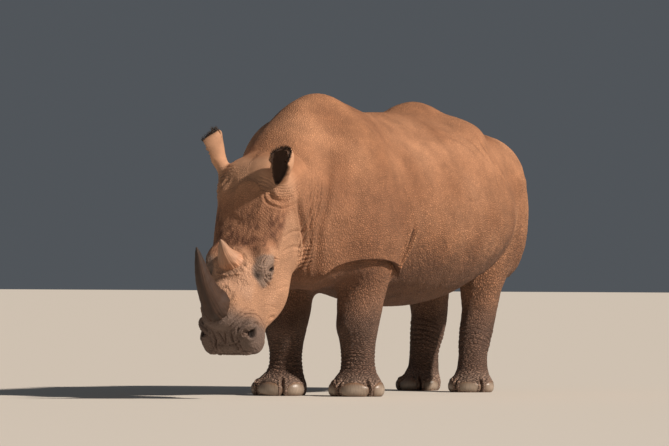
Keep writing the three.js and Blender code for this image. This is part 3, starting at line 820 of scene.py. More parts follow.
head_normal = turned(turned(normal, "Z", -HEAD_YAW), "X", -HEAD_PITCH)
facing_front = smooth((-head_normal[:, 1] - 0.35) / 0.35)
LIP_CREASES = (18, 46, 88)  # upright creases at the front of the lips, out from the middle
for place in LIP_CREASES:
    groove = 6 * hump(x - place - 8 * noise(q, 60, 15), 7) * within_range(z, -200, -60, 34)
    height -= head_share * facing_front * (y < -975) * groove
facing_up = smooth((head_normal[:, 2] - 0.2) / 0.5)
on_brow = head_share * facing_up
LINE_SPACING = 15  # of the fine lines over the brow and down the cheek
brow_lines = rolls((0.82 * y + 0.493 * x - 0.29 * z + 12 * noise(q, 120, 16)) / LINE_SPACING)
height += 1.1 * brow_lines * on_brow * within_range(y, -500, -110, 90) * smooth((x - 40) / 60)
strokes = 2.2 * wrinkles(q, 26, (1.2, 0.4, 1), 34) - 1.2
height += strokes * on_brow * within_range(y, -540, -170, 90) * smooth((110 - x) / 60)
cheek_lines = rolls((0.5 * x - 0.85 * z + 9 * noise(q, 110, 35)) / LINE_SPACING)
on_cheek = head_share * (x > 90) * within_range(y, -700, -180, 90) * smooth((-140 - z) / 60)
height += 0.7 * cheek_lines * on_cheek
MUZZLE_MIDDLE, MUZZLE_SPACING = [150, -1010, -110], 24
round_muzzle = away(q, MUZZLE_MIDDLE)
muzzle_lines = rolls((round_muzzle + 10 * noise(q, 50, 17)) / MUZZLE_SPACING)
height += head_share * 3.4 * muzzle_lines * within_range(round_muzzle, 56, 190, 40) * (x > 60)
scabby = on_brow * within_range(y, -905, -520, 50) * smooth((150 - x) / 40)
height += scabby * (3.8 * wrinkles(q, 22, (1, 1, 1), 36) - 1.8 + 1.5 * noise(q, 9, 37))
COLLARS = ((-866, 104, 118, 8), (-590, 98, 84, 6))  # skin climbs each horn: y, half width, half depth, rise
ragged = 1 + 0.8 * noise(q, 17, 40) + 0.5 * noise(q, 7, 46)
for place, half, deep, rise in COLLARS:
    collar = hump(np.hypot(x / half, (y - place) / deep) - 1.02, 0.11)
    height += on_brow * collar * rise * ragged
CHEEK_FOLDS = [  # y and z in the head's frame: a line, its width and its depth
    ([[-470, -150], [-400, -230], [-360, -330], [-365, -420]], 9, 4),
    ([[-400, -110], [-330, -180], [-280, -280], [-270, -390]], 9, 4),
    ([[-690, -190], [-640, -250], [-600, -330]], 8, 3),
    ([[-840, -232], [-815, -262], [-800, -300]], 9, 6),
    ([[-800, -150], [-770, -200], [-755, -260]], 9, 3),
]
for line, width, depth in CHEEK_FOLDS:
    height += head_share * (x > 60) * furrow(q[:, 1:], line, width, depth)
UNDER_EAR = ((70, 7, -7), (83, 8, 3.5), (97, 7, -8), (110, 8, 4), (124, 7, -4), (137, 8, 2))
for ear in EARS.values():
    root = mirrored(np.array([ear["root"]], float))[0]
    own_side = p[:, 0] * ear["side"] > 0
    low_side = smooth((root[1] - y - 0.8 * (z - root[2]) + 50) / 60)
    folds = banks(away(q, root) + 9 * noise(q, 70, 39), *UNDER_EAR)
    height += head_share * (1 - ear_share) * own_side * low_side * folds
    local = in_ear(ear, p)
    rings = rolls((local[:, 2] + 5 * noise(p, 40, 18)) / 15) * within_range(local[:, 2], -25, 85, 25)
    height += 1.8 * own_side * rings * (away(local, [0, 0, 40]) < 130)

on_tail = (p[:, 1] > 1850) & (np.abs(p[:, 0]) < 70)
height += on_tail * 1.2 * rolls(p[:, 2] / 16)

# How wrinkled the hide is: smooth along the back, heavy on the neck, belly and legs.
low_body = smooth((1450 - p[:, 2]) / 700)
on_neck = within_range(p[:, 1], -900, -180, 200) * smooth((1420 - p[:, 2]) / 350) * trunk_share
heavy = 0.4 + 0.5 * low_body + 0.8 * legs_share * smooth((1050 - p[:, 2]) / 400)
heavy = np.clip(heavy, 0, 1) * (1 - 0.25 * on_neck)
heavy = np.where(head_share > 0.5, 0.4 * (1 - 0.6 * ear_share), heavy)
heavy *= 1 - 0.8 * ear_share
slanted = p @ np.array([[1, 0, 0], [0, 0.8, 0.6], [0, -0.6, 0.8]]).T
body_plates = 3.2 * wrinkles(slanted, 30, (1, 1.3, 0.75), 20) - 1.7
height += heavy * body_plates * (1 - 0.75 * head_share) * (1 - 0.35 * legs_share) * (1 - 0.55 * on_neck)
height += heavy * head_share * (1.8 * wrinkles(q, 20, (1, 1.2, 0.8), 24) - 1)
height += 0.8 * noise(p, 45, 28)
p = relaxed(p + normal * height[:, None], skin, 1, 0.25)

# The lids are drawn over the eyeball, and the hide between them sinks behind its front.
on_side = np.column_stack([np.sign(in_head(p)[:, 0]), np.ones(len(p)), np.ones(len(p))])
from_eye, _, _, over_lids, in_opening = from_left_eye(mirrored(in_head(p)))
radius = np.linalg.norm(from_eye, axis=1)
by_lids = (head_share > 0.5) & (from_eye @ GAZE > 0) & (radius < 90)
lid = smooth((2.4 - in_opening) / 1.1)
heavy_lid = LID_THICK + 2.5 * smooth(over_lids / 10) * hump(in_opening - 1.3, 0.5)
wanted = radius * (1 - lid) + (EYE_RADIUS + heavy_lid) * lid
socket = smooth((1.05 - in_opening) / 0.12)
wanted = wanted * (1 - socket) + (EYE_RADIUS - SOCKET_DEPTH) * socket
moved = from_head((EYE + from_eye * (wanted / radius)[:, None]) * on_side)
p = np.where(by_lids[:, None], moved, p)
p[:, 2] = np.maximum(p[:, 2], 0)
move_points(skin, p)


# ============================================================================== hide colour
# A thick grey-brown hide under a coat of dry ochre dust; the lower legs and muzzle show the darker hide.
# Painted shade darkens the underside, the hollows and creases, the nostrils, the mouth's parting and the
# inside of each ear's cup; the ridges are paler, partly with dust and partly with a painted highlight.
def linear(code):
    """A colour from its sRGB hex value."""
    parts = [int(code[k:k + 2], 16) / 255 for k in (1, 3, 5)]
    return np.array([v / 12.92 if v <= 0.04045 else ((v + 0.055) / 1.055) ** 2.4 for v in parts])


def over(tint, code, share):
    """The tint with a colour laid over it, by a share for each point."""
    share = np.clip(share, 0, 1)[:, None]
    return tint * (1 - share) + linear(code) * share


normal = read(skin.vertices, "normal")
tint = np.tile(linear("#aa7653"), (len(p), 1))
tint = over(tint, "#be8b69", 0.5 + 0.6 * noise(p, 420, 30))
tint = over(tint, "#956546", 0.35 + 0.7 * noise(p, 170, 31))
# Painted shade: darker where the hide faces down, under the trunk.
tint = over(tint, "#6a4a38", 0.75 * smooth((-normal[:, 2] - 0.1) / 0.6) * trunk_share)
tint = over(tint, "#8f6449", 0.55 * on_neck)
tint = over(tint, "#8c6048", 0.4 * hump(p[:, 1] + 60, 340) * smooth((1400 - p[:, 2]) / 300) * trunk_share)
tint = over(tint, "#6d5345", legs_share * smooth((760 - p[:, 2]) / 420))
tint = over(tint, "#957c6d", legs_share * smooth((150 - p[:, 2]) / 90))
tint = over(tint, "#bb9072", 0.75 * head_share)
tint = over(tint, "#a56f4f", 0.6 * on_brow * within_range(y, -570, -90, 120))
between_horns = on_brow * within_range(y, -840, -560, 60) * (0.8 + 0.5 * noise(q, 50, 33))
tint = over(tint, "#c79c80", 0.7 * between_horns)
at_muzzle = head_share * smooth((-835 - y) / 110)
tint = over(tint, "#736056", at_muzzle)
tint = over(tint, "#87756a", 0.8 * ring)
tint = over(tint, "#2e241f", by_eye * hump(away(q, [148, -649, -46]), 34))
mottled = smooth(0.45 + 0.5 * noise(p, 55, 32) + 0.5 * noise(q * [1, 0.5, 1], 16, 38))
tint = over(tint, "#5c3828", 0.85 * on_brow * within_range(y, -560, -190, 110) * mottled)
tint = over(tint, "#2e221c", by_eye * smooth((1.25 - in_opening) / 0.25))
# Painted shade in each nostril's hollow.
tint = over(tint, "#231813", head_share * smooth((1.15 - rim) / 0.35) * (x > 80))
# Painted shade along the groove of the mouth's parting.
tint = over(tint, "#2b1f19", 0.75 * at_mouth * hump(parting, 6))
for ear in EARS.values():
    local = in_ear(ear, p)
    # Painted shade inside each ear's cup, up to its rim.
    shaded_ear_cup = (local[:, 2] > 62) & (away(local, EAR_MIDDLE) < 180)
    tint = over(tint, "#2a1b14", 0.92 * shaded_ear_cup * smooth((11 - sheath(EAR_BOWL, local)) / 7))
tint = over(tint, "#5a4334", 0.5 * on_tail * smooth((1000 - p[:, 2]) / 300))
# Painted shade in the hollows and creases of the hide.
hollowness = ((relaxed(p, skin, 3) - p) * normal).sum(1)
tint = over(tint, "#4a3024", 0.75 * smooth(hollowness / 1.6 - 0.1))
# Paler on the ridges that face up: partly dust, partly a painted highlight.
ridges = smooth(-hollowness / 1.4 - 0.15) * smooth(normal[:, 2] + 0.6) * (1 - 0.7 * at_muzzle)
tint = over(tint, "#c99a76", 0.35 * ridges)


def keep(mesh, name, values):
    """Keeps a colour for each point of a mesh, for its material."""
    kept = mesh.attributes.new(name, "FLOAT_COLOR", "POINT")
    kept.data.foreach_set("color", np.column_stack([values, np.ones(len(values))]).ravel())


keep(skin, "tint", tint)
upright = np.clip(on_neck + legs_share * smooth((p[:, 2] - 420) / 200), 0, 1)
ringed = legs_share * smooth((460 - p[:, 2]) / 160)
keep(skin, "grain", np.column_stack([heavy, upright, ringed]))


def node(tree, kind, links=(), **settings):
    """Adds a node with its settings. Each link is a socket and the output or value that it takes."""
    made = tree.nodes.new(kind)
    for name, value in settings.items():
        setattr(made, name, value)
    for socket, source in dict(links).items():
        if isinstance(source, bpy.types.NodeSocket):
            tree.links.new(source, made.inputs[socket])
        else:
            made.inputs[socket].default_value = source
    return made


def material(name, **values):
    """A new material and its surface shader. The values go on the shader's own sockets."""
    made = bpy.data.materials.new(name)
    made.use_nodes = True
    shader = made.node_tree.nodes["Principled BSDF"]
    for socket, value in values.items():
        shader.inputs[socket.replace("_", " ")].default_value = value
    return made, made.node_tree, shader


# Dusty hide is dull and dry. Its plates are drawn 10 to 25 mm across, a little over life size so
# that they show, with fine grain on them.
dusty_hide, tree, shader = material("dusty hide", Roughness=0.82, IOR=1.45)
place = node(tree, "ShaderNodeTexCoord").outputs["Object"]
tinted = node(tree, "ShaderNodeAttribute", attribute_name="tint").outputs["Color"]
grain = node(tree, "ShaderNodeAttribute", attribute_name="grain").outputs["Color"]
amount, upright, ringed = node(tree, "ShaderNodeSeparateColor", {0: grain}).outputs
shifted = node(tree, "ShaderNodeTexNoise", {"Vector": place, "Scale": 24, "Detail": 3}).outputs["Color"]
WOBBLE = (0.022, 0.022, 0.022)  # in metres
wobble = node(tree, "ShaderNodeVectorMath", {0: shifted, 1: WOBBLE}, operation="MULTIPLY").outputs[0]
loose = node(tree, "ShaderNodeVectorMath", {0: place, 1: wobble}, operation="ADD").outputs[0]
creased = None
# plates to the metre, and where they are: all over, drawn out upwards, then in rings
for stretch, share in (((88, 88, 88), None), ((96, 96, 48), upright), ((40, 40, 104), ringed)):
    where = node(tree, "ShaderNodeVectorMath", {0: loose, 1: stretch}, operation="MULTIPLY").outputs[0]
    edge = node(tree, "ShaderNodeTexVoronoi", {"Vector": where, "Scale": 1}, feature="DISTANCE_TO_EDGE")
    flat = node(tree, "ShaderNodeMapRange", {0: edge.outputs[0], 2: 0.3}, interpolation_type="SMOOTHSTEP")
    flat = flat.outputs[0]
    if creased is None:
        creased = flat
    else:
        creased = node(tree, "ShaderNodeMix", {0: share, 2: creased, 3: flat}).outputs[0]
fine = {"Vector": place, "Scale": 260, "Detail": 4, "Roughness": 0.65}
fine = node(tree, "ShaderNodeTexNoise", fine).outputs[0]
relief = node(tree, "ShaderNodeMath", {0: creased, 1: amount}, operation="MULTIPLY").outputs[0]
relief = node(tree, "ShaderNodeMath", {0: fine, 1: 0.22, 2: relief}, operation="MULTIPLY_ADD").outputs[0]
raised = node(tree, "ShaderNodeBump", {"Height": relief, "Distance": 0.006, "Strength": 1.0})
tree.links.new(raised.outputs[0], shader.inputs["Normal"])
patchy = {"Vector": place, "Scale": 9, "Detail": 6, "Roughness": 0.62}
patchy = node(tree, "ShaderNodeTexNoise", patchy).outputs[0]
patchy = node(tree, "ShaderNodeMapRange", {0: patchy, 1: 0.3, 2: 0.7, 3: 0.8, 4: 1.2}).outputs[0]
# Painted shade: the colour darkens in the creases between the plates, most where the hide is heavily
# wrinkled.
painted_crease_shade = node(tree, "ShaderNodeMapRange", {0: creased, 1: 0, 2: 0.7, 3: 0.44, 4: 1.05}).outputs[0]
painted_crease_shade = node(tree, "ShaderNodeMix", {0: amount, 2: 1.0, 3: painted_crease_shade}).outputs[0]
shade = node(tree, "ShaderNodeMath", {0: patchy, 1: painted_crease_shade}, operation="MULTIPLY").outputs[0]
coloured = node(tree, "ShaderNodeVectorMath", {0: tinted, "Scale": shade}, operation="SCALE").outputs[0]
tree.links.new(coloured, shader.inputs["Base Color"])
rough = node(tree, "ShaderNodeMapRange", {0: fine, 1: 0.3, 2: 0.7, 3: 0.72, 4: 0.92}).outputs[0]
tree.links.new(rough, shader.inputs["Roughness"])
skin.materials.clear()
skin.materials.append(dusty_hide)


# ==================================================================================== horns
# A horn is solid keratin, grown as a bundle of fibres out of the skin of the nose. The base is a
# rough, flaring skirt of broken fibres; towards the tip the horn is worn smooth by rubbing.
# A line up the horn's middle; stations: how far up, half width, half depth; and how far the skirt
# goes up. The colours are the skirt's, the body's, the tip's and the paler streaks'.
HORNS = {
    "front": dict(
        line=[[0, -868, -60], [0, -872, 90], [0, -802, 262], [0, -660, 418]],
        stations=[
            [0, 98, 112], [0.26, 82, 94], [0.4, 66, 74], [0.6, 49, 55], [0.8, 31, 34], [0.93, 16, 17],
            [1, 5, 5],
        ],
        skirt=0.40,
        colours=("#2f1a0b", "#321c0d", "#25160b", "#4a2e19"),
    ),
    "rear": dict(
        line=[[0, -586, -90], [0, -584, 0], [0, -564, 85], [0, -515, 172]],
        stations=[[0, 92, 76], [0.3, 86, 72], [0.5, 62, 54], [0.75, 36, 33], [0.92, 17, 17], [1, 6, 6]],
        skirt=0.62,
        colours=("#b78363", "#ad8266", "#8f6f59", "#c2977a"),
    ),
}
HORN_RINGS, HORN_SIDES = 150, 144
FIBRE_RADIUS = 90  # the radius at which the noise for the fibres is read


def grid_faces(rings, sides):
    """Faces of a closed tube of rings of points, with a cap on its last ring."""
    k = np.arange(rings - 1)[:, None] * sides
    a, b = np.arange(sides)[None, :], (np.arange(sides)[None, :] + 1) % sides
    faces = np.stack([k + a, k + b, k + b + sides, k + a + sides], -1).reshape(-1, 4)
    return faces.tolist() + [list(range((rings - 1) * sides, rings * sides))]


def new_piece(name, p, faces, surface):
    """A piece from points in the animal's millimetres."""
    mesh = bpy.data.meshes.new(name)
    mesh.from_pydata(((p - MIDDLE) / 1000).tolist(), [], faces)
    mesh.polygons.foreach_set("use_smooth", np.ones(len(mesh.polygons), bool))
    mesh.materials.append(surface)
    mesh.update()
    made = bpy.data.objects.new(name, mesh)
    bpy.context.collection.objects.link(made)
    return made


# Keratin is hard and a little waxy where it is worn, dull and splintered at the skirt.
keratin, tree, shader = material("keratin", Roughness=0.6, IOR=1.54)
tinted = node(tree, "ShaderNodeAttribute", attribute_name="tint").outputs["Color"]
spread = node(tree, "ShaderNodeAttribute", attribute_name="grain").outputs["Vector"]
fibre = {"Vector": spread, "Scale": 1, "Detail": 5, "Roughness": 0.6}
fibre = node(tree, "ShaderNodeTexNoise", fibre).outputs[0]
band = node(tree, "ShaderNodeMapRange", {0: fibre, 1: 0.28, 2: 0.72, 3: 0.6, 4: 1.35}).outputs[0]
striped = node(tree, "ShaderNodeVectorMath", {0: tinted, "Scale": band}, operation="SCALE").outputs[0]
tree.links.new(striped, shader.inputs["Base Color"])
dull = node(tree, "ShaderNodeMapRange", {0: fibre, 1: 0.3, 2: 0.7, 3: 0.5, 4: 0.82}).outputs[0]
tree.links.new(dull, shader.inputs["Roughness"])
raised = node(tree, "ShaderNodeBump", {"Height": fibre, "Distance": 0.0016, "Strength": 0.9})
tree.links.new(raised.outputs[0], shader.inputs["Normal"])

for name, horn in HORNS.items():
    t = np.linspace(0, 1, HORN_RINGS) ** 0.92
    curve = eased_line(horn["line"], 400)
    length = np.concatenate([[0], np.cumsum(np.linalg.norm(np.diff(curve, axis=0), axis=1))])
    along = np.column_stack([np.interp(t * length[-1], length, curve[:, k]) for k in range(3)])
    way = np.gradient(along, axis=0)
    way /= np.linalg.norm(way, axis=1)[:, None]
    _, half, deep = eased(horn["stations"], t)
    round_it = np.linspace(0, 2 * math.pi, HORN_SIDES, endpoint=False)
    across, up = np.array([1.0, 0, 0]), np.cross(way, [1.0, 0, 0])
    cos, sin = np.cos(round_it)[None, :, None], np.sin(round_it)[None, :, None]
    out = cos * across + sin * up[:, None]
    q = along[:, None] + cos * half[:, None, None] * across + sin * (deep[:, None] * up)[:, None]
    ring_t, ring_a = np.repeat(t, HORN_SIDES), np.tile(round_it, HORN_RINGS)
    ring_r = np.repeat((half + deep) / 2, HORN_SIDES)
    q, out = q.reshape(-1, 3), out.reshape(-1, 3)
    round_axis = np.cos(ring_a) * FIBRE_RADIUS, np.sin(ring_a) * FIBRE_RADIUS
    up_horn = ring_t * length[-1]
    spun = np.column_stack([*round_axis, up_horn * 0.12])
    strands = 1 - np.abs(noise(spun, 13, 41)) * 2 + 0.6 * noise(spun, 5, 42)
    rough = smooth((horn["skirt"] - ring_t) / 0.22)
    swell = 2.2 * rough * strands + 0.7 * (1 - rough) * strands * np.minimum(ring_r / 40, 1)
    ragged = noise(np.column_stack([*round_axis, up_horn]), 26, 43)
    skirt_edge = hump(ring_t - horn["skirt"] + 0.1 + 0.03 * ragged, 0.05)
    swell += 3.5 * rough * ragged + 5 * skirt_edge * (0.5 + 0.5 * ragged)
    growth = np.sin(up_horn / 9 + 2 * noise(spun, 60, 44))
    swell += 0.45 * growth * (1 - 0.5 * rough)
    q += out * swell[:, None]
    faces = grid_faces(HORN_RINGS, HORN_SIDES)
    piece = new_piece("horn_" + name + "_keratin", from_head(q), faces, keratin)
    skirt, body, tip, pale = horn["colours"]
    tint = np.tile(linear(body), (len(q), 1))
    tint = over(tint, skirt, rough)
    tint = over(tint, tip, smooth((ring_t - 0.72) / 0.25))
    tint = over(tint, pale, 0.5 * smooth(0.5 + 0.8 * noise(spun, 30, 45)))
    # Painted shade in the grooves between the fibres, most on the skirt.
    tint = over(tint, "#33261e", 0.6 * smooth(-strands - 0.2) * (0.3 + 0.7 * rough))
    keep(piece.data, "tint", tint)
    keep(piece.data, "grain", spun / 7)
    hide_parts("horn_" + name)
    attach(piece, "root")


# ===================================================================================== eyes
# The eyeball is a wet, dark globe, with a brown iris under a clear cornea that bulges a little. The
# iris is streaked outwards from the pupil, and has a dark ring round it.
IRIS_EDGE, PUPIL_EDGE = math.radians(31), math.radians(14)
wet_eye, tree, shader = material("wet eye", Roughness=0.06, IOR=1.376, Coat_Weight=1.0, Coat_Roughness=0.03)
tinted = node(tree, "ShaderNodeAttribute", attribute_name="tint").outputs["Color"]
spokes = node(tree, "ShaderNodeAttribute", attribute_name="grain").outputs["Vector"]
streak = node(tree, "ShaderNodeTexNoise", {"Vector": spokes, "Scale": 1, "Detail": 3}).outputs[0]
streak = node(tree, "ShaderNodeMapRange", {0: streak, 1: 0.3, 2: 0.7, 3: 0.6, 4: 1.4}).outputs[0]
streaked = node(tree, "ShaderNodeVectorMath", {0: tinted, "Scale": streak}, operation="SCALE").outputs[0]
tree.links.new(streaked, shader.inputs["Base Color"])
EYE_RINGS, EYE_SIDES = 60, 64
for side_name, side in (("left", 1), ("right", -1)):
    turn = np.linspace(0.004, math.pi * 0.985, EYE_RINGS)
    around = np.linspace(0, 2 * math.pi, EYE_SIDES, endpoint=False) * side
    gaze = GAZE * [side, 1, 1]
    right = np.cross(gaze, [0, 0, 1.0])
    right /= np.linalg.norm(right)
    down = np.cross(gaze, right)
    t, a = np.repeat(turn, EYE_SIDES), np.tile(around, EYE_RINGS)
    radius = EYE_RADIUS + 1.6 * smooth((IRIS_EDGE * 1.15 - t) / 0.35) - 0.8
    spread = np.outer(np.cos(a), right) + np.outer(np.sin(a), down)
    q = EYE * [side, 1, 1] + radius[:, None] * (np.cos(t)[:, None] * gaze + np.sin(t)[:, None] * spread)
    faces = [face[::-1] for face in grid_faces(EYE_RINGS, EYE_SIDES)] + [list(range(EYE_SIDES))]
    piece = new_piece("eyeball_" + side_name, from_head(q), faces, wet_eye)
    tint = np.tile(linear("#4a3428"), (len(q), 1))
    tint = over(tint, "#2d190e", smooth((IRIS_EDGE - t) / 0.06))
    tint = over(tint, "#0a0605", smooth((PUPIL_EDGE - t) / 0.05))
    tint = over(tint, "#120b08", hump(t - IRIS_EDGE, 0.06))
    keep(piece.data, "tint", tint)
    keep(piece.data, "grain", np.column_stack([np.cos(a) * 6, np.sin(a) * 6, t * 2]))
    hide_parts("eye_" + side_name)
    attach(piece, "root")


# ================================================================================= toenails
# Each toe ends in a broad nail of hard keratin, rounded in front, with a worn lower edge. It grows
# from under a roll of skin, and stands on the ground with the sole.
NAIL_THICK, NAIL_EDGE, NAIL_COLUMNS, NAIL_ROWS = 9, 3, 36, 20
# A toenail is smooth and waxy with fine lengthwise lines, dusty at its root.
nail_horn, tree, shader = material("toenail", Roughness=0.4, IOR=1.54)
tinted = node(tree, "ShaderNodeAttribute", attribute_name="tint").outputs["Color"]
spread = node(tree, "ShaderNodeAttribute", attribute_name="grain").outputs["Vector"]
lines = node(tree, "ShaderNodeTexNoise", {"Vector": spread, "Scale": 1, "Detail": 4}).outputs[0]
band = node(tree, "ShaderNodeMapRange", {0: lines, 1: 0.3, 2: 0.7, 3: 0.78, 4: 1.2}).outputs[0]
striped = node(tree, "ShaderNodeVectorMath", {0: tinted, "Scale": band}, operation="SCALE").outputs[0]
tree.links.new(striped, shader.inputs["Base Color"])
waxy = node(tree, "ShaderNodeMapRange", {0: lines, 1: 0.3, 2: 0.7, 3: 0.28, 4: 0.5}).outputs[0]
tree.links.new(waxy, shader.inputs["Roughness"])
raised = node(tree, "ShaderNodeBump", {"Height": lines, "Distance": 0.0009, "Strength": 0.8})
tree.links.new(raised.outputs[0], shader.inputs["Normal"])


def from_toe(leg, toe, p):
    size = foot_size(leg)
    p = turned(p * size - [0, toe["reach"] * size, 0], "Z", leg["side"] * (leg["splay"] + toe["turn"]))
    return p + sole_middle(leg)


def on_limb(leg, start, way):
    """How far along its way each point leaves the leg's flesh."""
    low, high = np.zeros(len(start)), np.full(len(start), 170.0)
    for _ in range(16):
        mid = (low + high) / 2
        inside = limb(leg, start + way * mid[:, None]) < 0
        low, high = np.where(inside, mid, low), np.where(inside, high, mid)
    return low


for leg_name, leg in LEGS.items():
    for toe_name, toe in TOES.items():
        across = np.repeat(np.linspace(-1, 1, NAIL_COLUMNS), NAIL_ROWS)
        rise = np.tile(np.linspace(0, 1, NAIL_ROWS), NAIL_COLUMNS)
        turn = across * NAIL_SPREAD
        rx, ry = toe["radii"][:2]
        aim = np.column_stack([np.sin(turn) * rx, -np.cos(turn) * ry, np.zeros(len(turn))])
        aim /= np.linalg.norm(aim, axis=1)[:, None]
        z = 1.5 + rise * (NAIL_TOP * np.cos(across * 0.9) + 3)
        start = from_toe(leg, toe, np.column_stack([np.zeros(len(z)), np.zeros(len(z)), np.maximum(z, 5)]))
        way = from_toe(leg, toe, aim) - from_toe(leg, toe, aim * 0)
        way /= np.linalg.norm(way, axis=1)[:, None]
        reach = on_limb(leg, start, way)
        start[:, 2] = z * foot_size(leg)
        rim = np.maximum(np.abs(across), 2 * np.abs(rise - 0.42) * 0.9)
        thick = NAIL_EDGE + (NAIL_THICK - NAIL_EDGE) * np.sqrt(np.clip(1 - rim**3, 0, 1))
        worn = 2.5 * smooth((0.16 - rise) / 0.16)
        outer = start + way * (reach + thick * foot_size(leg) - 2 - worn)[:, None]
        inner = start + way * (reach - 9)[:, None]
        p = np.concatenate([outer, inner])
        count = NAIL_COLUMNS * NAIL_ROWS
        i = (np.arange(NAIL_COLUMNS - 1)[:, None] * NAIL_ROWS + np.arange(NAIL_ROWS - 1)).ravel()
        plate = np.stack([i, i + NAIL_ROWS, i + NAIL_ROWS + 1, i + 1], -1)
        edge = [k * NAIL_ROWS for k in range(NAIL_COLUMNS)]
        edge += [(NAIL_COLUMNS - 1) * NAIL_ROWS + k for k in range(1, NAIL_ROWS)]
        edge += [k * NAIL_ROWS + NAIL_ROWS - 1 for k in range(NAIL_COLUMNS - 2, -1, -1)]
        edge += [k for k in range(NAIL_ROWS - 2, 0, -1)]
        rim_faces = [[b, a, a + count, b + count] for a, b in zip(edge, edge[1:] + edge[:1])]
        faces = plate.tolist() + (plate[:, ::-1] + count).tolist() + rim_faces
        piece = new_piece(leg_name + "_nail_" + toe_name, p, faces, nail_horn)
        across, rise = np.tile(across, 2), np.tile(rise, 2)
        tint = np.tile(linear("#7d6b5b"), (len(p), 1))
        # Painted highlight down the middle of each nail.
        tint = over(tint, "#a79889", 0.7 * hump(rise - 0.45, 0.3) * (1 - np.abs(across)))
        tint = over(tint, "#7d5f4a", smooth((rise - 0.75) / 0.25))
        # Darker along the nail's lower edge, and painted shade down its curved sides.
        tint = over(tint, "#6a5242", smooth((0.16 - rise) / 0.16) + smooth((np.abs(across) - 0.75) / 0.25))
        keep(piece.data, "tint", tint)
        keep(piece.data, "grain", np.column_stack([across * 16, rise * 1.6, across * 0]))
        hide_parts(leg_name + "_toenail_" + toe_name)
        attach(piece, "root")


# ===================================================================================== hair
# A white rhinoceros is bare but for stiff, dark bristles: a fringe round the rim of each ear, short
# lashes over each eye, and two rows of long bristles down the end of the tail.
HAIR_SIDES, HAIR_STEPS = 3, 5
FRINGE_HAIRS, LASHES, TAIL_BRISTLES = 700, 46, 520  # on each ear, over each eye, on the tail
RIM_REACH = 9  # a fringe's roots are this near the outside and the bowl of the ear
TUFT_TOP, TUFT_MIDDLE = 830, 1968  # z of its highest root, and y of the tail's middle there
chance = np.random.default_rng(7)
# Bristle is coarse, dark brown, with a slight gloss along it.
bristle, tree, shader = material("bristle", Roughness=0.5, IOR=1.55)
place = node(tree, "ShaderNodeTexCoord").outputs["Object"]
mottle = node(tree, "ShaderNodeTexNoise", {"Vector": place, "Scale": 140, "Detail": 2}).outputs[0]
darker, paler = (*linear("#120c09"), 1), (*linear("#3f2d22"), 1)
shades = node(tree, "ShaderNodeMix", {0: mottle, 6: darker, 7: paler}, data_type="RGBA")
tree.links.new(shades.outputs[2], shader.inputs["Base Color"])


def tufts(name, roots, ways, lengths, widths, sag, patch):
    """A piece of tapering, drooping tufts. patch holds each root's place on the unwrapped skin."""
    n = len(roots)
    ways = ways / np.linalg.norm(ways, axis=1)[:, None]
    side = np.cross(ways, chance.normal(size=(n, 3)))
    side /= np.linalg.norm(side, axis=1)[:, None]
    back = np.cross(ways, side)
    t = np.linspace(0, 1, HAIR_STEPS)
    spine = roots[:, None] + ways[:, None] * (lengths[:, None] * t)[..., None]
    spine[..., 2] -= sag[:, None] * t**2
    turn = np.arange(HAIR_SIDES) * 2 * math.pi / HAIR_SIDES
    ring = side[:, None] * np.cos(turn)[:, None] + back[:, None] * np.sin(turn)[:, None]
    width = widths[:, None] * (1 - t**1.5 * 0.96)
    p = spine[:, :, None] + ring[:, None] * width[:, :, None, None]
    size = HAIR_SIDES * HAIR_STEPS
    one = np.array(grid_faces(HAIR_STEPS, HAIR_SIDES)[:-1])
    faces = (one[None] + np.arange(n)[:, None, None] * size).reshape(-1, 4).tolist()
    faces += (np.arange(size - HAIR_SIDES, size)[None] + np.arange(n)[:, None] * size).tolist()
    piece = new_piece(name, p.reshape(-1, 3), faces, bristle)
    across = np.tile(np.cos(turn) * 0.5, HAIR_STEPS)
    spot = np.column_stack([across, np.repeat(t, HAIR_SIDES) - 0.5]) * 0.003
    flat = (patch[:, None] + spot).reshape(-1, 2)
    corner = np.empty(len(piece.data.loops), np.int64)
    piece.data.loops.foreach_get("vertex_index", corner)
    piece.data.uv_layers.new(name="OFBake").data.foreach_set("uv", flat[corner].ravel())
    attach(piece, "root")


p, normal = points_of(skin), read(skin.vertices, "normal")
for ear_name, ear in EARS.items():
    local = in_ear(ear, p)
    near = np.flatnonzero((away(local, EAR_MIDDLE) < EAR_REACH) & (local[:, 2] > 60))
    q = local[near]
    at_rim = (np.abs(sheath(EAR_SHELL, q)) < RIM_REACH) & (np.abs(sheath(EAR_BOWL, q)) < RIM_REACH)
    rim_points, rim_local = near[at_rim], q[at_rim]
    share = 0.12 + smooth((rim_local[:, 2] - 120) / 110)
    picked = chance.choice(len(rim_points), FRINGE_HAIRS, p=share / share.sum())
    roots, q = p[rim_points[picked]], rim_local[picked]
    out = np.column_stack([q[:, 0] / 70, -0.35 + 0 * q[:, 0], smooth((q[:, 2] - 150) / 90) * 1.3 + 0.1])
    out += chance.normal(size=out.shape) * 0.25
    ways = from_ear(ear, out) - from_ear(ear, out * 0)
    lengths = (7 + 20 * smooth((q[:, 2] - 215) / 45)) * chance.uniform(0.5, 1.2, len(q))
    turn = np.arctan2(q[:, 0], -q[:, 1]) / (2 * math.pi) + 0.5
    patch = np.column_stack([turn, q[:, 2] / 300]) * 0.98 + 0.01
    tufts(ear_name + "_fringe", roots, ways, lengths, np.full(len(q), 0.6), lengths * 0.1, patch)

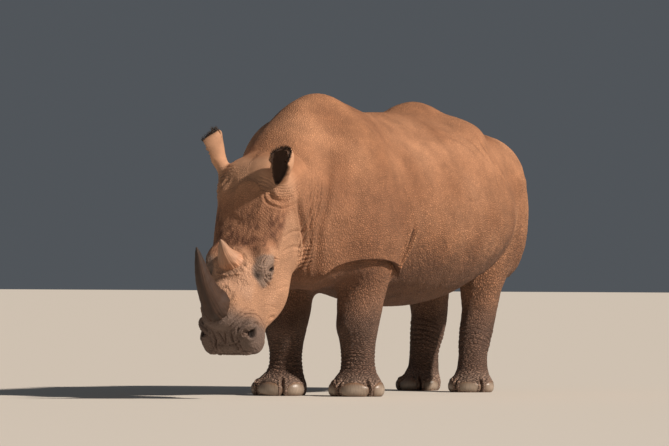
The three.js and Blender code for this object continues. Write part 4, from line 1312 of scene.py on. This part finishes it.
for side_name, side in (("left", 1), ("right", -1)):
    turn = np.linspace(0.25, math.pi - 0.25, LASHES) + chance.normal(size=LASHES) * 0.02
    on_lid = 1.12 * LID_OPENING * [np.cos(turn), np.sin(turn)]
    behind_eye, over_eye = ALONG_LIDS.T @ on_lid
    out = np.outer(behind_eye, EYE_BACK) + np.outer(over_eye, EYE_UP)
    depth = np.sqrt((EYE_RADIUS + LID_THICK) ** 2 - behind_eye**2 - over_eye**2)
    q = EYE + out + np.outer(depth, GAZE)
    out = GAZE + out * 0.03 + chance.normal(size=out.shape) * 0.08
    roots, ways = from_head(q * [side, 1, 1]), from_head(out * [side, 1, 1]) - from_head(out * 0)
    lengths = chance.uniform(9, 15, LASHES)
    patch = np.column_stack([turn / math.pi, 0.25 + 0.5 * np.sin(turn)]) * 0.9 + 0.05
    tufts("lashes_" + side_name, roots, ways, lengths, np.full(LASHES, 0.8), lengths * 0.15, patch)

on_end = np.flatnonzero((p[:, 1] > 1900) & (p[:, 2] < TUFT_TOP) & (np.abs(p[:, 0]) < 60))
picked = chance.choice(on_end, TAIL_BRISTLES)
out = normal[picked] * [1.0, 0.35, 0.2] + [0, 0, -1.5] + chance.normal(size=(TAIL_BRISTLES, 3)) * 0.12
lengths = 60 + 110 * smooth((TUFT_TOP - p[picked, 2]) / 170) * chance.uniform(0.6, 1.1, TAIL_BRISTLES)
turn = np.arctan2(p[picked, 0], p[picked, 1] - TUFT_MIDDLE) / (2 * math.pi) + 0.5
patch = np.column_stack([turn, (p[picked, 2] - 600) / 260]) * 0.96 + 0.02
tufts("tail_tuft", p[picked], out, lengths, np.full(TAIL_BRISTLES, 1.9), lengths * 0.15, patch)


# ==================================================================================== floor
# A plain, pale studio floor of matt plaster. It is one flat sheet, so wide that its far edge lies
# almost on the horizon.
plaster, tree, shader = material("matt plaster", Roughness=0.9)
shader.inputs["Base Color"].default_value = (*linear("#d9d2c8"), 1)
bpy.ops.mesh.primitive_plane_add(size=120)
floor = bpy.context.object
floor.name = "floor"
floor.data.materials.append(plaster)

# =================================================================================== camera
# Level, a metre above the ground and 45 m away to the animal's left front, with a long lens that
# hardly tapers it.
AZIMUTH = math.radians(30)
camera = bpy.data.objects.new("camera", bpy.data.cameras.new("camera"))
bpy.context.collection.objects.link(camera)
camera.data.lens = 418.9
camera.data.sensor_width = 36
camera.data.clip_end = 200
camera.location = (22.585, -39.239, 1.0)
camera.rotation_euler = (math.pi / 2, 0, AZIMUTH)
bpy.context.scene.camera = camera

# =================================================================================== lights
# One strong lamp like a low sun, far round to the right, models the folds. A weak, broad lamp beside
# the camera and a dim, plain sky fill the shade.
AIM = Vector((0, 0, 0.9))


def lamp(name, kind, turn, rise, distance, power, code):
    """A light. turn is from behind the camera towards its right, rise from level."""
    turn = math.radians(turn) + AZIMUTH
    rise = math.radians(rise)
    data = bpy.data.lights.new(name, kind)
    data.energy = power
    data.color = linear(code)
    made = bpy.data.objects.new(name, data)
    aside = Vector((math.sin(turn) * math.cos(rise), -math.cos(turn) * math.cos(rise), math.sin(rise)))
    made.location = AIM + aside * distance
    made.rotation_euler = aside.to_track_quat("Z", "Y").to_euler()
    bpy.context.collection.objects.link(made)
    return data


lamp("key", "SUN", turn=58, rise=34, distance=12, power=4.8, code="#fff3e6").angle = math.radians(3)
lamp("fill", "AREA", turn=-5, rise=25, distance=14, power=14, code="#e9efff").size = 8
world = bpy.data.worlds.new("studio")
world.use_nodes = True
background = world.node_tree.nodes["Background"]
background.inputs["Color"].default_value = (*linear("#c9d3de"), 1)
background.inputs["Strength"].default_value = 0.14
bpy.context.scene.world = world
bpy.context.scene.view_settings.view_transform = "Standard"
